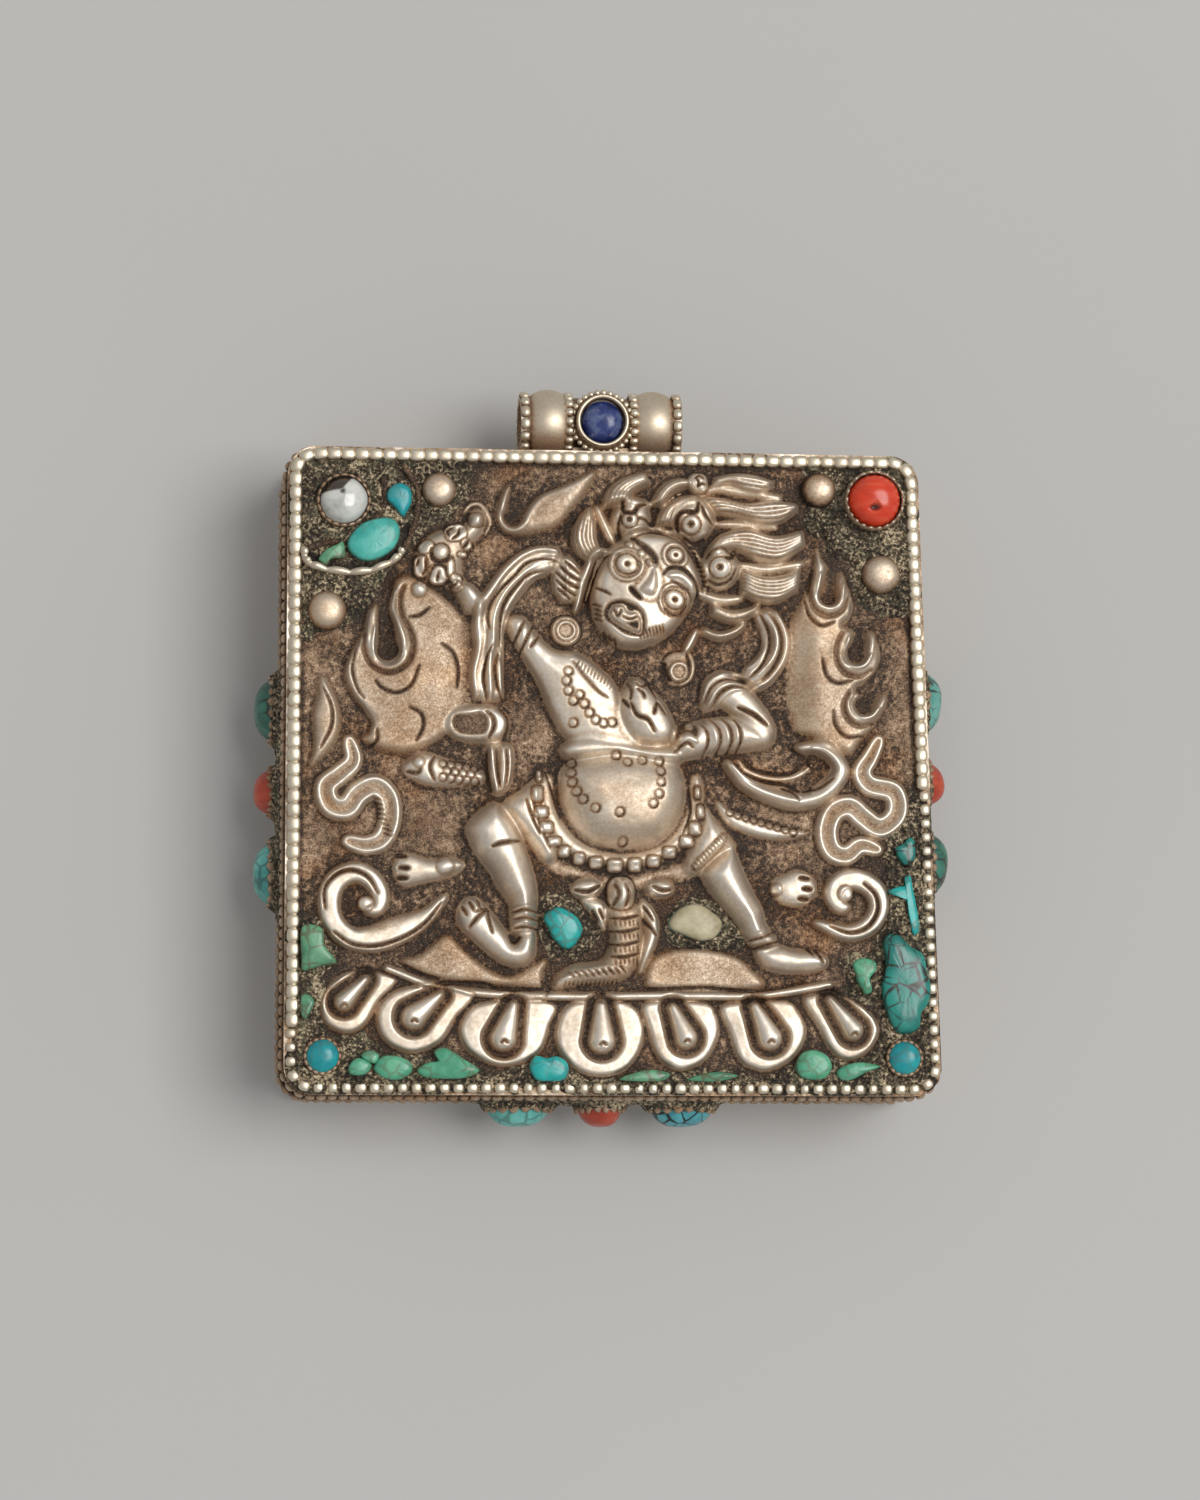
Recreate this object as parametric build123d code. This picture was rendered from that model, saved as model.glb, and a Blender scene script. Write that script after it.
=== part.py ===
from build123d import *
from math import cos, pi, radians, sin, sqrt
import os

# Ghau amulet box lying on its back, millimetres.
# The origin is the centre of the back, Z points out of the figure panel, Y points to the bail.

# Front half
FACE_HEIGHT = 64.2
FACE_TOP_WIDTH = 63.2
FACE_BOTTOM_WIDTH = 65.2
CORNER_RADIUS = 2.6
LEAST_CORNER_RADIUS = 0.5
CASE_THICKNESS = 0.8
CASE_DEPTH = 14.3
FACE_THICKNESS = 0.8
FACE_OVERHANG = 0.25

# Back half
BACK_THICKNESS = 0.9
BACK_LIP = 0.5
TRAY_DEPTH = 8.5
TRAY_THICKNESS = 0.7
SLIDING_CLEARANCE = 0.2

# Bead wires
BEAD_PITCH = 1.45
BEAD_WIDTH = 1.25
BEAD_HEIGHT = 1.1
BEAD_CREST = 0.55
BEAD_NECK = 0.62
BEAD_EDGE_MARGIN = 0.2
WALL_BEAD_PITCH = 2.4
WALL_BEAD_WIDTH = 1.1
WALL_BEAD_PROJECTION = 0.7
WALL_BEAD_INSET = 1.3
SOLDER_FILM = 0.05
WIRE_SEAM = 0.06

# Stones and settings
LAC_THICKNESS = 0.7
LAC_MARGIN = 0.12
CHIP_HEIGHT = 1.0
CHIP_CROWN = 0.72
BEZEL_WALL = 0.4
BEZEL_HEIGHT = 0.9
STONE_CLEARANCE = 0.1
CORAL_RADIUS = 2.6
CORAL_HEIGHT = 2.3
CORAL_MARGIN = 0.1
PEARL_RADIUS = 2.3
PEARL_MARGIN = 1.2
CORNER_STONE_RADIUS = 1.5
CORNER_STONE_HEIGHT = 1.1
CORNER_STONE_MARGIN = 0.2
STUD_RADIUS = 1.7
STUD_HEIGHT = 1.4
STUD_GAP = 0.4
CELL_WALL = 0.35
CELL_HEIGHT = 0.8

# Settings on the side walls
SETTING_LENGTH = 26.0
SETTING_WIDTH = 8.0
SETTING_THICKNESS = 0.5
SETTING_PITCH = 8.3
SIDE_TURQUOISE_LENGTH = 7.6
SIDE_TURQUOISE_WIDTH = 6.6
SIDE_CORAL_DIAMETER = 5.8
SIDE_BEZEL_HEIGHT = 1.5
SIDE_STONE_HEIGHT = 2.7
LEFT_SETTING_Y = -1.7
RIGHT_SETTING_Y = -0.2
BOTTOM_SETTING_X = -0.2

# Bail
BAIL_LENGTH = 16.4
BAIL_RADIUS = 2.9
BAIL_BORE_RADIUS = 2.2
BAIL_GAP = 0.3
BAIL_Z = 10.4
SADDLE_SETBACK = 1.7
SADDLE_WIDTH = 3.2
BAIL_RING_WIDTH = 0.9
BAIL_RING_HEIGHT = 0.45
BAIL_RING_SPREAD = 6.6
BAIL_BEZEL_RADIUS = 2.5
BAIL_BEZEL_RISE = 1.0
LAPIS_RISE = 1.3

# The figure is drawn on a sheet in tenths of a millimetre, x to the right and y down.
# The sheet's field is carried to the field of the panel inside the border.
FIELD_TOP_LEFT = (302, 463)
FIELD_TOP_RIGHT = (908, 463)
FIELD_BOTTOM_RIGHT = (927, 1079)
RELIEF_ROOT = 0.3
SHOULDER_RISE = 0.65
SHOULDER_SHARE = 0.86
CROWN_SHARE = 0.5

# Cabochon profile: share of the radius at each share of the height
DOME_PROFILE = [(1.0, 0.0), (0.9, 0.48), (0.62, 0.82), (0.26, 1.0)]
DOME_SIDES = 14
BEAD_SIDES = 6
SKULL_SIDES = 8
RING_SIDES = 14
HOOP_SIDES = 18

# Derived levels and edges
MEAN_WIDTH = (FACE_TOP_WIDTH + FACE_BOTTOM_WIDTH) / 2
LEFT = -MEAN_WIDTH / 2
RIGHT_TOP = LEFT + FACE_TOP_WIDTH
RIGHT_BOTTOM = LEFT + FACE_BOTTOM_WIDTH
HALF_HEIGHT = FACE_HEIGHT / 2
CASE_BASE = BACK_THICKNESS
CASE_TOP = CASE_BASE + CASE_DEPTH
FACE_TOP = CASE_TOP + FACE_THICKNESS
LAC_TOP = FACE_TOP + LAC_THICKNESS
FRONT_WIRE_Z = CASE_TOP - WALL_BEAD_INSET - WALL_BEAD_WIDTH / 2
REAR_WIRE_Z = CASE_BASE + WALL_BEAD_INSET
SETTING_Z = (FRONT_WIRE_Z + REAR_WIRE_Z) / 2
BEAD_INSET = BEAD_EDGE_MARGIN + BEAD_WIDTH / 2 - FACE_OVERHANG
BED_INSET = BEAD_INSET + BEAD_WIDTH / 2 + LAC_MARGIN

parts = {}


def right_edge(y, grow=0.0):
    """X of the slanting right edge at height y, moved outwards by grow."""
    slope = (RIGHT_TOP - RIGHT_BOTTOM) / FACE_HEIGHT
    return RIGHT_BOTTOM + slope * (y + HALF_HEIGHT) + grow * sqrt(1 + slope * slope)


def outline(grow):
    """Face of the box outline, moved outwards by grow, with rounded corners."""
    low = -HALF_HEIGHT - grow
    high = HALF_HEIGHT + grow
    corners = [
        (LEFT - grow, low),
        (right_edge(low, grow), low),
        (right_edge(high, grow), high),
        (LEFT - grow, high),
    ]
    face = make_face(Polyline(*corners, close=True))
    radius = max(CORNER_RADIUS + grow, LEAST_CORNER_RADIUS)
    return fillet(face.vertices(), radius)


def at(x, y):
    """A point of the drawing sheet, carried to the panel."""
    left, top = FIELD_TOP_LEFT
    down = (y - top) / (FIELD_BOTTOM_RIGHT[1] - top)
    right = FIELD_TOP_RIGHT[0] + (FIELD_BOTTOM_RIGHT[0] - FIELD_TOP_RIGHT[0]) * down
    panel_left = LEFT + BED_INSET
    panel_y = (HALF_HEIGHT - BED_INSET) * (1 - 2 * down)
    panel_x = panel_left + (x - left) / (right - left) * (right_edge(panel_y, -BED_INSET) - panel_left)
    return (panel_x, panel_y)


def drawn(points):
    return [at(x, y) for x, y in points]


def slab(face, low, high):
    return Pos(0, 0, low) * extrude(face, high - low)


def band(grow, thickness, low, high):
    """A wall that follows the box outline."""
    return slab(outline(grow) - outline(grow - thickness), low, high)


def flat(corners):
    return Face(Wire.make_polygon(corners, close=True))


def stack(loops):
    """A solid of flat facets through loops of points, one above the other."""
    faces = [flat(loops[0]), flat(loops[-1])]
    for low, high in zip(loops, loops[1:]):
        for i in range(len(low)):
            j = (i + 1) % len(low)
            normal = (low[j] - low[i]).cross(high[i] - low[i]).normalized()
            if abs(normal.dot(high[j] - low[i])) < 1e-6:
                faces.append(flat([low[i], low[j], high[j], high[i]]))
            else:
                faces.append(flat([low[i], low[j], high[j]]))
                faces.append(flat([low[i], high[j], high[i]]))
    return Solid(Shell(faces))


def shrunk(points, share, level):
    """The outline drawn in towards its middle, at a level."""
    middle_x = sum(x for x, y in points) / len(points)
    middle_y = sum(y for x, y in points) / len(points)
    return [
        Vector(middle_x + (x - middle_x) * share, middle_y + (y - middle_y) * share, level)
        for x, y in points
    ]


def bead_wire(grow, level, profile, pitch, standing):
    """A row of beads along the outline: wide and narrow sections in turn."""
    path = Pos(0, 0, level) * outline(grow).wire()
    count = 2 * round(path.length / pitch)
    share = 1 - WIRE_SEAM / path.length
    up = Vector(0, 0, 1)
    sections = []
    for step in range(count + 1):
        place = share * step / count
        centre = path.position_at(place)
        outward = path.tangent_at(place).cross(up)
        if outward.dot(Vector(centre.X, centre.Y, 0)) < 0:
            outward = outward * -1
        across, rise = (outward, up) if standing else (up, outward)
        size = BEAD_NECK if step % 2 == 0 else 1.0
        sections.append([centre + across * (u * size) + rise * (v * size) for u, v in profile])
    return stack(sections)


def oval(radius_x, radius_y, sides):
    turns = [2 * pi * step / sides for step in range(sides)]
    return [(radius_x * cos(turn), radius_y * sin(turn)) for turn in turns]


def dome(radius_x, radius_y, height):
    """A cabochon standing on the XY plane."""
    rim = oval(radius_x, radius_y, DOME_SIDES)
    return stack([shrunk(rim, share, height * rise) for share, rise in DOME_PROFILE])


def ring(radius_x, radius_y, height):
    """A bezel wall standing on the XY plane."""
    outer = make_face(Polyline(*oval(radius_x, radius_y, RING_SIDES), close=True))
    inner = oval(radius_x - BEZEL_WALL, radius_y - BEZEL_WALL, RING_SIDES)
    return extrude(outer - make_face(Polyline(*inner, close=True)), height)


def chip(points, level, height):
    """A stone chip: its outline drawn in towards the crown."""
    base = drawn(points)
    return stack([shrunk(base, 1.0, level), shrunk(base, CHIP_CROWN, level + height)])


def bead(x, y, radius, height):
    """A small bead of the relief."""
    base = drawn(sheet_oval(x, y, radius, radius, BEAD_SIDES))
    return stack([shrunk(base, 1.0, FACE_TOP - RELIEF_ROOT), shrunk(base, CROWN_SHARE, FACE_TOP + height)])


def mass(points, height):
    """A rounded form of the relief: foot, shoulder and crown."""
    base = drawn(points)
    return stack([
        shrunk(base, 1.0, FACE_TOP - RELIEF_ROOT),
        shrunk(base, SHOULDER_SHARE, FACE_TOP + SHOULDER_RISE * height),
        shrunk(base, CROWN_SHARE, FACE_TOP + height),
    ])


def sheet_oval(x, y, radius_x, radius_y, sides):
    return [(x + dx, y - dy) for dx, dy in oval(radius_x, radius_y, sides)]


def pad(points, height):
    """A raised patch of the relief with upright edges."""
    face = make_face(Polyline(*drawn(points), close=True))
    return slab(face, FACE_TOP - RELIEF_ROOT, FACE_TOP + height)


def ribbon(points, width, height):
    """A raised band along a path."""
    face = trace(Polyline(*drawn(points)), width)
    return slab(face, FACE_TOP - RELIEF_ROOT, FACE_TOP + height)


# Back half: plain back and the band that slides into the front half
parts["back_plate"] = slab(outline(BACK_LIP), 0, BACK_THICKNESS)
tray_grow = -CASE_THICKNESS - SLIDING_CLEARANCE
parts["tray_wall"] = band(tray_grow, TRAY_THICKNESS, BACK_THICKNESS, BACK_THICKNESS + TRAY_DEPTH)

# Front half: side band
parts["case_wall"] = band(0, CASE_THICKNESS, CASE_BASE, CASE_TOP)

# The figure: height of each form and its outline on the sheet
FIGURE = {
    "head": (3.4, [(592, 560), (582, 595), (590, 625), (612, 644), (640, 647), (668, 634),
                   (695, 612), (706, 585), (698, 555), (680, 536), (650, 530), (612, 545)]),
    "belly": (3.6, sheet_oval(620, 797, 64, 52, DOME_SIDES)),
    "chest": (2.2, [(566, 666), (592, 658), (625, 672), (660, 678), (696, 692), (702, 716),
                    (682, 752), (650, 762), (600, 762), (566, 742), (558, 710)]),
    "raised_arm": (2.3, [(503, 632), (518, 617), (540, 640), (568, 656), (602, 702), (588, 730),
                         (564, 724), (538, 690), (512, 652)]),
    "fist": (3.2, [(620, 690), (635, 678), (652, 682), (668, 712), (672, 735), (655, 750),
                   (632, 747), (618, 720)]),
    "forearm": (2.3, [(676, 728), (700, 722), (735, 718), (742, 750), (705, 756), (680, 752)]),
    "elbow": (2.1, [(712, 708), (740, 699), (762, 706), (776, 728), (768, 746), (746, 747), (730, 730)]),
    "left_leg": (2.8, [(492, 808), (474, 826), (467, 848), (474, 868), (500, 900), (514, 916),
                       (532, 916), (539, 892), (534, 862), (522, 834), (506, 814)]),
    "left_foot": (1.9, [(478, 893), (456, 914), (460, 932), (484, 952), (512, 965), (529, 956),
                        (533, 935), (514, 934), (498, 914)]),
    "right_leg": (2.8, [(736, 846), (714, 856), (699, 876), (706, 894), (722, 914), (746, 935),
                        (768, 918), (758, 886), (746, 858)]),
    "right_foot": (1.7, [(752, 940), (785, 942), (815, 951), (829, 963), (812, 972), (778, 970),
                         (758, 962)]),
    "crown_hair": (1.7, [(599, 506), (612, 484), (640, 470), (690, 472), (700, 494), (660, 504),
                         (620, 512)]),
    "left_lock": (1.3, [(589, 506), (574, 532), (580, 552), (596, 560), (601, 546)]),
    "hanging_lock": (1.2, [(560, 558), (552, 578), (566, 604), (580, 594), (576, 570)]),
    "hair_1": (1.3, [(706, 470), (740, 470), (776, 479), (756, 488), (708, 483)]),
    "hair_2": (1.5, [(704, 493), (742, 501), (798, 498), (784, 512), (735, 514)]),
    "hair_3": (1.5, [(704, 546), (735, 528), (806, 529), (800, 551), (752, 556)]),
    "hair_4": (1.5, [(744, 567), (772, 582), (801, 569), (782, 594), (754, 593)]),
    "hair_5": (1.3, [(706, 602), (734, 606), (760, 598), (740, 617), (712, 616)]),
    "left_hand": (1.8, [(441, 726), (455, 710), (490, 708), (508, 724), (498, 742), (460, 742)]),
    "flame_sceptre": (1.6, [(412, 562), (430, 540), (463, 523), (481, 510), (484, 526), (468, 550),
                            (456, 578), (434, 585), (416, 577)]),
    "snake_head": (1.3, [(401, 770), (420, 755), (442, 763), (484, 776), (468, 788), (424, 786)]),
    "snake_tail": (1.0, [(720, 800), (742, 814), (774, 824), (807, 832), (776, 838), (738, 828)]),
    "left_paw": (1.2, [(393, 872), (408, 855), (450, 857), (464, 868), (436, 884), (402, 888)]),
    "right_paw": (1.2, [(772, 880), (798, 869), (817, 880), (815, 897), (796, 905), (775, 898)]),
    "left_leaf": (1.1, [(319, 682), (337, 698), (345, 720), (338, 748), (313, 769), (318, 742),
                        (325, 722)]),
    "left_bell": (1.5, sheet_oval(583, 886, 13, 10, SKULL_SIDES)),
    "middle_bell": (1.6, sheet_oval(620, 891, 13, 12, SKULL_SIDES)),
    "right_bell": (1.5, sheet_oval(660, 888, 13, 9, SKULL_SIDES)),
    "left_cloud": (1.2, [(404, 961), (445, 936), (478, 962), (508, 976), (546, 958), (538, 986),
                         (470, 982)]),
    "right_cloud": (1.2, [(658, 956), (700, 947), (738, 956), (759, 985), (700, 990), (648, 984)]),
}
SKULLS = [(630, 517, 20), (692, 515, 23), (720, 567, 20), (699, 478, 11)]
SKULL_HEIGHT = 2.2
FLAMES = {
    "left_flame": [(392, 600), (412, 584), (440, 600), (466, 626), (470, 670), (453, 708),
                   (432, 744), (376, 750), (368, 716), (346, 690), (352, 656), (374, 640), (384, 592)],
    "right_flame": [(800, 626), (826, 600), (844, 566), (857, 606), (850, 634), (876, 630),
                    (878, 660), (866, 686), (888, 696), (884, 714), (866, 736), (838, 745), (812, 722),
                    (798, 684)],
    "top_flame": [(501, 520), (508, 486), (524, 512), (540, 492), (592, 470), (570, 502), (552, 527),
                  (512, 533)],
}
FLAME_HEIGHT = 1.0
SCARVES = {
    "left_scarf": [(558, 549), (520, 556), (490, 588), (473, 628), (471, 690), (482, 703),
                   (502, 698), (500, 650), (508, 614), (532, 582), (556, 568)],
    "left_scarf_end": [(486, 748), (510, 750), (512, 786), (496, 796)],
    "armlet": [(702, 706), (708, 684), (730, 671), (750, 677), (748, 688), (726, 694), (716, 708)],
    "right_scarf": [(756, 611), (778, 611), (789, 640), (781, 668), (757, 688), (744, 664),
                    (764, 642)],
    "scarf_loop": [(726, 761), (750, 787), (790, 801), (828, 788), (842, 768), (820, 745), (798, 748),
                   (811, 764), (798, 776), (768, 778), (742, 758)],
    "apron": [(607, 904), (640, 904), (656, 930), (645, 964), (612, 983), (560, 987), (586, 962),
              (608, 946)],
}
SCARF_HEIGHT = 1.5
SCROLLS = {
    "left_scroll": [(440, 900), (400, 924), (366, 936), (346, 924), (340, 904), (352, 888), (382, 897),
                    (372, 876), (352, 868), (331, 884), (326, 908), (336, 938), (362, 951), (402, 944),
                    (430, 922)],
    "right_scroll": [(821, 925), (848, 937), (872, 928), (884, 908), (876, 886), (852, 874), (834, 882),
                     (830, 898), (844, 912), (856, 906), (858, 892), (868, 902), (862, 920), (840, 926)],
}
SCROLL_HEIGHT = 1.1
CURLS = [
    [(346, 746), (350, 772), (328, 788), (340, 812), (358, 794), (384, 802), (376, 840), (350, 846)],
    [(878, 746), (864, 770), (890, 790), (876, 822), (846, 808), (834, 838), (864, 844)],
]
CURL_WIDTH = 1.3

# Skull-bead garland below the belly
GARLAND_CENTRE = (618, 790)
GARLAND_RADII = (81, 74)
GARLAND_SPAN = (184, 366)
GARLAND_BEADS = 16
GARLAND_BEAD = 8
GARLAND_HEIGHT = 1.7
garland = []
for step in range(GARLAND_BEADS):
    share = step / (GARLAND_BEADS - 1)
    turn = radians(GARLAND_SPAN[0] + share * (GARLAND_SPAN[1] - GARLAND_SPAN[0]))
    bead_x = GARLAND_CENTRE[0] + GARLAND_RADII[0] * cos(turn)
    bead_y = GARLAND_CENTRE[1] - GARLAND_RADII[1] * sin(turn)
    garland.append(bead(bead_x, bead_y, GARLAND_BEAD, GARLAND_HEIGHT))

# Lotus throne: rim with petals, each with a drop; a petal is x and y of its foot, then its lean
PLINTH = [(396, 968), (450, 982), (540, 993), (650, 990), (760, 990), (826, 978), (832, 996),
          (730, 1006), (540, 1010), (430, 1000), (386, 986)]
PETALS = [(345, 1032, 24), (415, 1050, 24), (503, 1064, 10), (602, 1071, 0), (684, 1066, -10),
          (766, 1066, -12), (850, 1057, -24)]
PETAL_HALF_WIDTH = 34
PETAL_LENGTH = 62
PETAL_HEIGHT = 0.9
DROP_RADIUS = 11
DROP_HEIGHT = 1.8


def petal_outline(foot_x, foot_y, lean):
    """A petal hanging from the rim: narrow at the top, round at its foot."""
    top = foot_y - PETAL_LENGTH
    middle = foot_y - PETAL_LENGTH / 2
    low = foot_y - PETAL_LENGTH / 8
    return [
        (foot_x + lean - 0.55 * PETAL_HALF_WIDTH, top),
        (foot_x + lean / 3 - PETAL_HALF_WIDTH, middle),
        (foot_x - 0.75 * PETAL_HALF_WIDTH, low),
        (foot_x, foot_y),
        (foot_x + 0.75 * PETAL_HALF_WIDTH, low),
        (foot_x + lean / 3 + PETAL_HALF_WIDTH, middle),
        (foot_x + lean + 0.55 * PETAL_HALF_WIDTH, top),
    ]


def drop_outline(foot_x, foot_y, lean):
    """The drop in a petal, leaning with it."""
    low = foot_y - PETAL_LENGTH / 3
    top = foot_y - PETAL_LENGTH * 0.95
    return [
        (foot_x + 0.8 * lean - 0.4 * DROP_RADIUS, top),
        (foot_x + 0.4 * lean - DROP_RADIUS, low - 0.8 * DROP_RADIUS),
        (foot_x - 0.6 * DROP_RADIUS, low + 0.8 * DROP_RADIUS),
        (foot_x + 0.6 * DROP_RADIUS, low + 0.8 * DROP_RADIUS),
        (foot_x + 0.4 * lean + DROP_RADIUS, low - 0.8 * DROP_RADIUS),
        (foot_x + 0.8 * lean + 0.4 * DROP_RADIUS, top),
    ]


petals = [petal_outline(*petal) for petal in PETALS]
forms = [mass(points, height) for height, points in FIGURE.values()]
forms += [mass(sheet_oval(x, y, size, size, SKULL_SIDES), SKULL_HEIGHT) for x, y, size in SKULLS]
forms += [pad(points, FLAME_HEIGHT) for points in FLAMES.values()]
forms += [pad(points, SCARF_HEIGHT) for points in SCARVES.values()]
forms += [pad(points, SCROLL_HEIGHT) for points in SCROLLS.values()]
forms += [ribbon(points, CURL_WIDTH, SCROLL_HEIGHT) for points in CURLS]
forms += [mass(drop_outline(*petal), DROP_HEIGHT) for petal in PETALS]
forms += [pad(points, PETAL_HEIGHT) for points in petals]
forms += garland + [pad(PLINTH, PETAL_HEIGHT)]
plate = slab(outline(FACE_OVERHANG), CASE_TOP, FACE_TOP)
parts["face_plate"] = plate.fuse(*forms)

# Bead wires
border_profile = [
    (-BEAD_WIDTH / 2, 0),
    (BEAD_WIDTH / 2, 0),
    (BEAD_CREST * BEAD_WIDTH / 2, BEAD_HEIGHT),
    (-BEAD_CREST * BEAD_WIDTH / 2, BEAD_HEIGHT),
]
wall_profile = [
    (-WALL_BEAD_WIDTH / 2, 0),
    (WALL_BEAD_WIDTH / 2, 0),
    (0, WALL_BEAD_PROJECTION),
]
corner_sag = (WALL_BEAD_PITCH / 2) ** 2 / (8 * CORNER_RADIUS)
wall_grow = SOLDER_FILM + corner_sag
parts["face_bead_wire"] = bead_wire(-BEAD_INSET, FACE_TOP, border_profile, BEAD_PITCH, True)
parts["wall_front_bead_wire"] = bead_wire(wall_grow, FRONT_WIRE_Z, wall_profile, WALL_BEAD_PITCH, False)
parts["wall_rear_bead_wire"] = bead_wire(wall_grow, REAR_WIRE_Z, wall_profile, WALL_BEAD_PITCH, False)

# Lac in the upper corners, along the lower edge and at the lower right
LAC = [
    [(300, 460), (470, 460), (468, 500), (420, 534), (402, 560), (380, 590), (350, 630), (300, 640)],
    [(806, 460), (920, 460), (920, 610), (872, 602), (860, 560), (838, 545), (810, 520)],
    [(300, 915), (318, 925), (338, 958), (322, 982), (314, 1010), (330, 1044), (370, 1048), (470, 1060),
     (560, 1054), (600, 1060), (684, 1056), (766, 1056), (806, 1046), (850, 1046), (884, 1040),
     (882, 1000), (850, 1000), (848, 954), (882, 950), (888, 870), (893, 828), (930, 828), (940, 1081),
     (300, 1081)],
]
bed_limit = outline(-BED_INSET)
beds = []
for points in LAC:
    bed = make_face(Polyline(*drawn(points), close=True)) & bed_limit
    for petal in petals:
        bed = bed - make_face(Polyline(*drawn(petal), close=True))
    beds += [slab(face, FACE_TOP, LAC_TOP) for face in bed.faces()]
parts["lac_bed"] = Compound(children=[bed.solid() for bed in beds])


def corner_stone(stone, bezel, right, top, radius, height, margin):
    """A round cabochon and its bezel in one corner of the field; returns the bezel's place."""
    wall = radius + STONE_CLEARANCE + BEZEL_WALL
    reach = BED_INSET + margin + wall
    y = HALF_HEIGHT - reach if top else reach - HALF_HEIGHT
    x = right_edge(y, -reach) if right else LEFT + reach
    parts[bezel] = Pos(x, y, LAC_TOP) * ring(wall, wall, BEZEL_HEIGHT)
    parts[stone] = Pos(x, y, LAC_TOP) * dome(radius, radius, height)
    return (x, y, wall)


# Stones on the panel
coral = (CORAL_RADIUS, CORAL_HEIGHT, CORAL_MARGIN)
pearl = (PEARL_RADIUS, PEARL_RADIUS, PEARL_MARGIN)
turquoise = (CORNER_STONE_RADIUS, CORNER_STONE_HEIGHT, CORNER_STONE_MARGIN)
coral_x, coral_y, coral_wall = corner_stone("coral_cabochon", "coral_bezel", True, True, *coral)
corner_stone("pearl_bead", "pearl_bezel", False, True, *pearl)
corner_stone("left_corner_turquoise", "left_corner_bezel", False, False, *turquoise)
corner_stone("right_corner_turquoise", "right_corner_bezel", True, False, *turquoise)

# Three studs stand where the sheet shows them, the fourth beside the coral
STUDS = [(437, 491), (326, 614), (884, 570)]
stud_places = drawn(STUDS) + [(coral_x - coral_wall - STUD_GAP - STUD_RADIUS, coral_y + STUD_GAP)]
studs = [Pos(x, y, LAC_TOP) * dome(STUD_RADIUS, STUD_RADIUS, STUD_HEIGHT) for x, y in stud_places]
parts["face_studs"] = Compound(children=[stud.solid() for stud in studs])

CELL = [(304, 552), (306, 566), (330, 576), (366, 575), (396, 560), (414, 530), (416, 486), (400, 464),
        (380, 478), (382, 512), (352, 540)]
cell_outer = make_face(Polyline(*drawn(CELL), close=True))
cell_inner = offset(cell_outer, -CELL_WALL, kind=Kind.INTERSECTION)
parts["crescent_cell"] = slab(cell_outer - cell_inner, LAC_TOP, LAC_TOP + CELL_HEIGHT)

CHIPS = {
    "crescent_turquoise_upper": [(398, 487), (408, 494), (403, 515), (388, 501)],
    "crescent_turquoise_middle": [(360, 545), (386, 526), (402, 528), (394, 548), (370, 562)],
    "crescent_turquoise_lower": [(317, 562), (340, 552), (343, 562), (328, 569)],
    "left_turquoise_upper": [(302, 930), (318, 930), (326, 948), (336, 964), (304, 972)],
    "left_turquoise_lower": [(302, 1000), (312, 998), (312, 1012), (303, 1020)],
    "lower_turquoise_1": [(350, 1066), (372, 1056), (400, 1060), (410, 1070), (398, 1078), (354, 1074)],
    "lower_turquoise_2": [(422, 1068), (442, 1056), (476, 1071), (462, 1078), (428, 1077)],
    "lower_turquoise_3": [(534, 1066), (548, 1060), (564, 1066), (560, 1077), (542, 1078)],
    "lower_turquoise_4": [(626, 1076), (656, 1071), (666, 1074), (654, 1079), (630, 1079)],
    "lower_turquoise_5": [(696, 1075), (728, 1073), (732, 1077), (710, 1080), (698, 1079)],
    "lower_turquoise_6": [(798, 1064), (812, 1056), (824, 1062), (824, 1074), (806, 1077)],
    "lower_turquoise_7": [(840, 1069), (858, 1064), (876, 1066), (862, 1074), (844, 1078)],
    "right_turquoise_large": [(886, 940), (900, 936), (924, 958), (927, 1000), (916, 1030), (896, 1028),
                              (886, 990)],
    "right_turquoise_pale": [(854, 962), (872, 958), (876, 970), (868, 990), (858, 982)],
    "right_turquoise_green": [(897, 848), (914, 838), (917, 856), (906, 865)],
    "right_turquoise_branch": [(893, 888), (906, 884), (908, 876), (913, 876), (921, 930), (914, 932),
                               (907, 894)],
}
for name, points in CHIPS.items():
    parts[name] = chip(points, LAC_TOP, CHIP_HEIGHT)

# The two stones between the legs stand on the panel itself
CENTRE_STONE_HEIGHT = CHIP_HEIGHT + LAC_THICKNESS
CENTRE_TURQUOISE = [(545, 918), (566, 910), (581, 930), (568, 948), (550, 938)]
CENTRE_PALE_STONE = [(670, 922), (690, 906), (712, 914), (720, 926), (702, 940), (678, 933)]
parts["centre_turquoise"] = chip(CENTRE_TURQUOISE, FACE_TOP, CENTRE_STONE_HEIGHT)
parts["centre_pale_stone"] = chip(CENTRE_PALE_STONE, FACE_TOP, CENTRE_STONE_HEIGHT)

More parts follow.
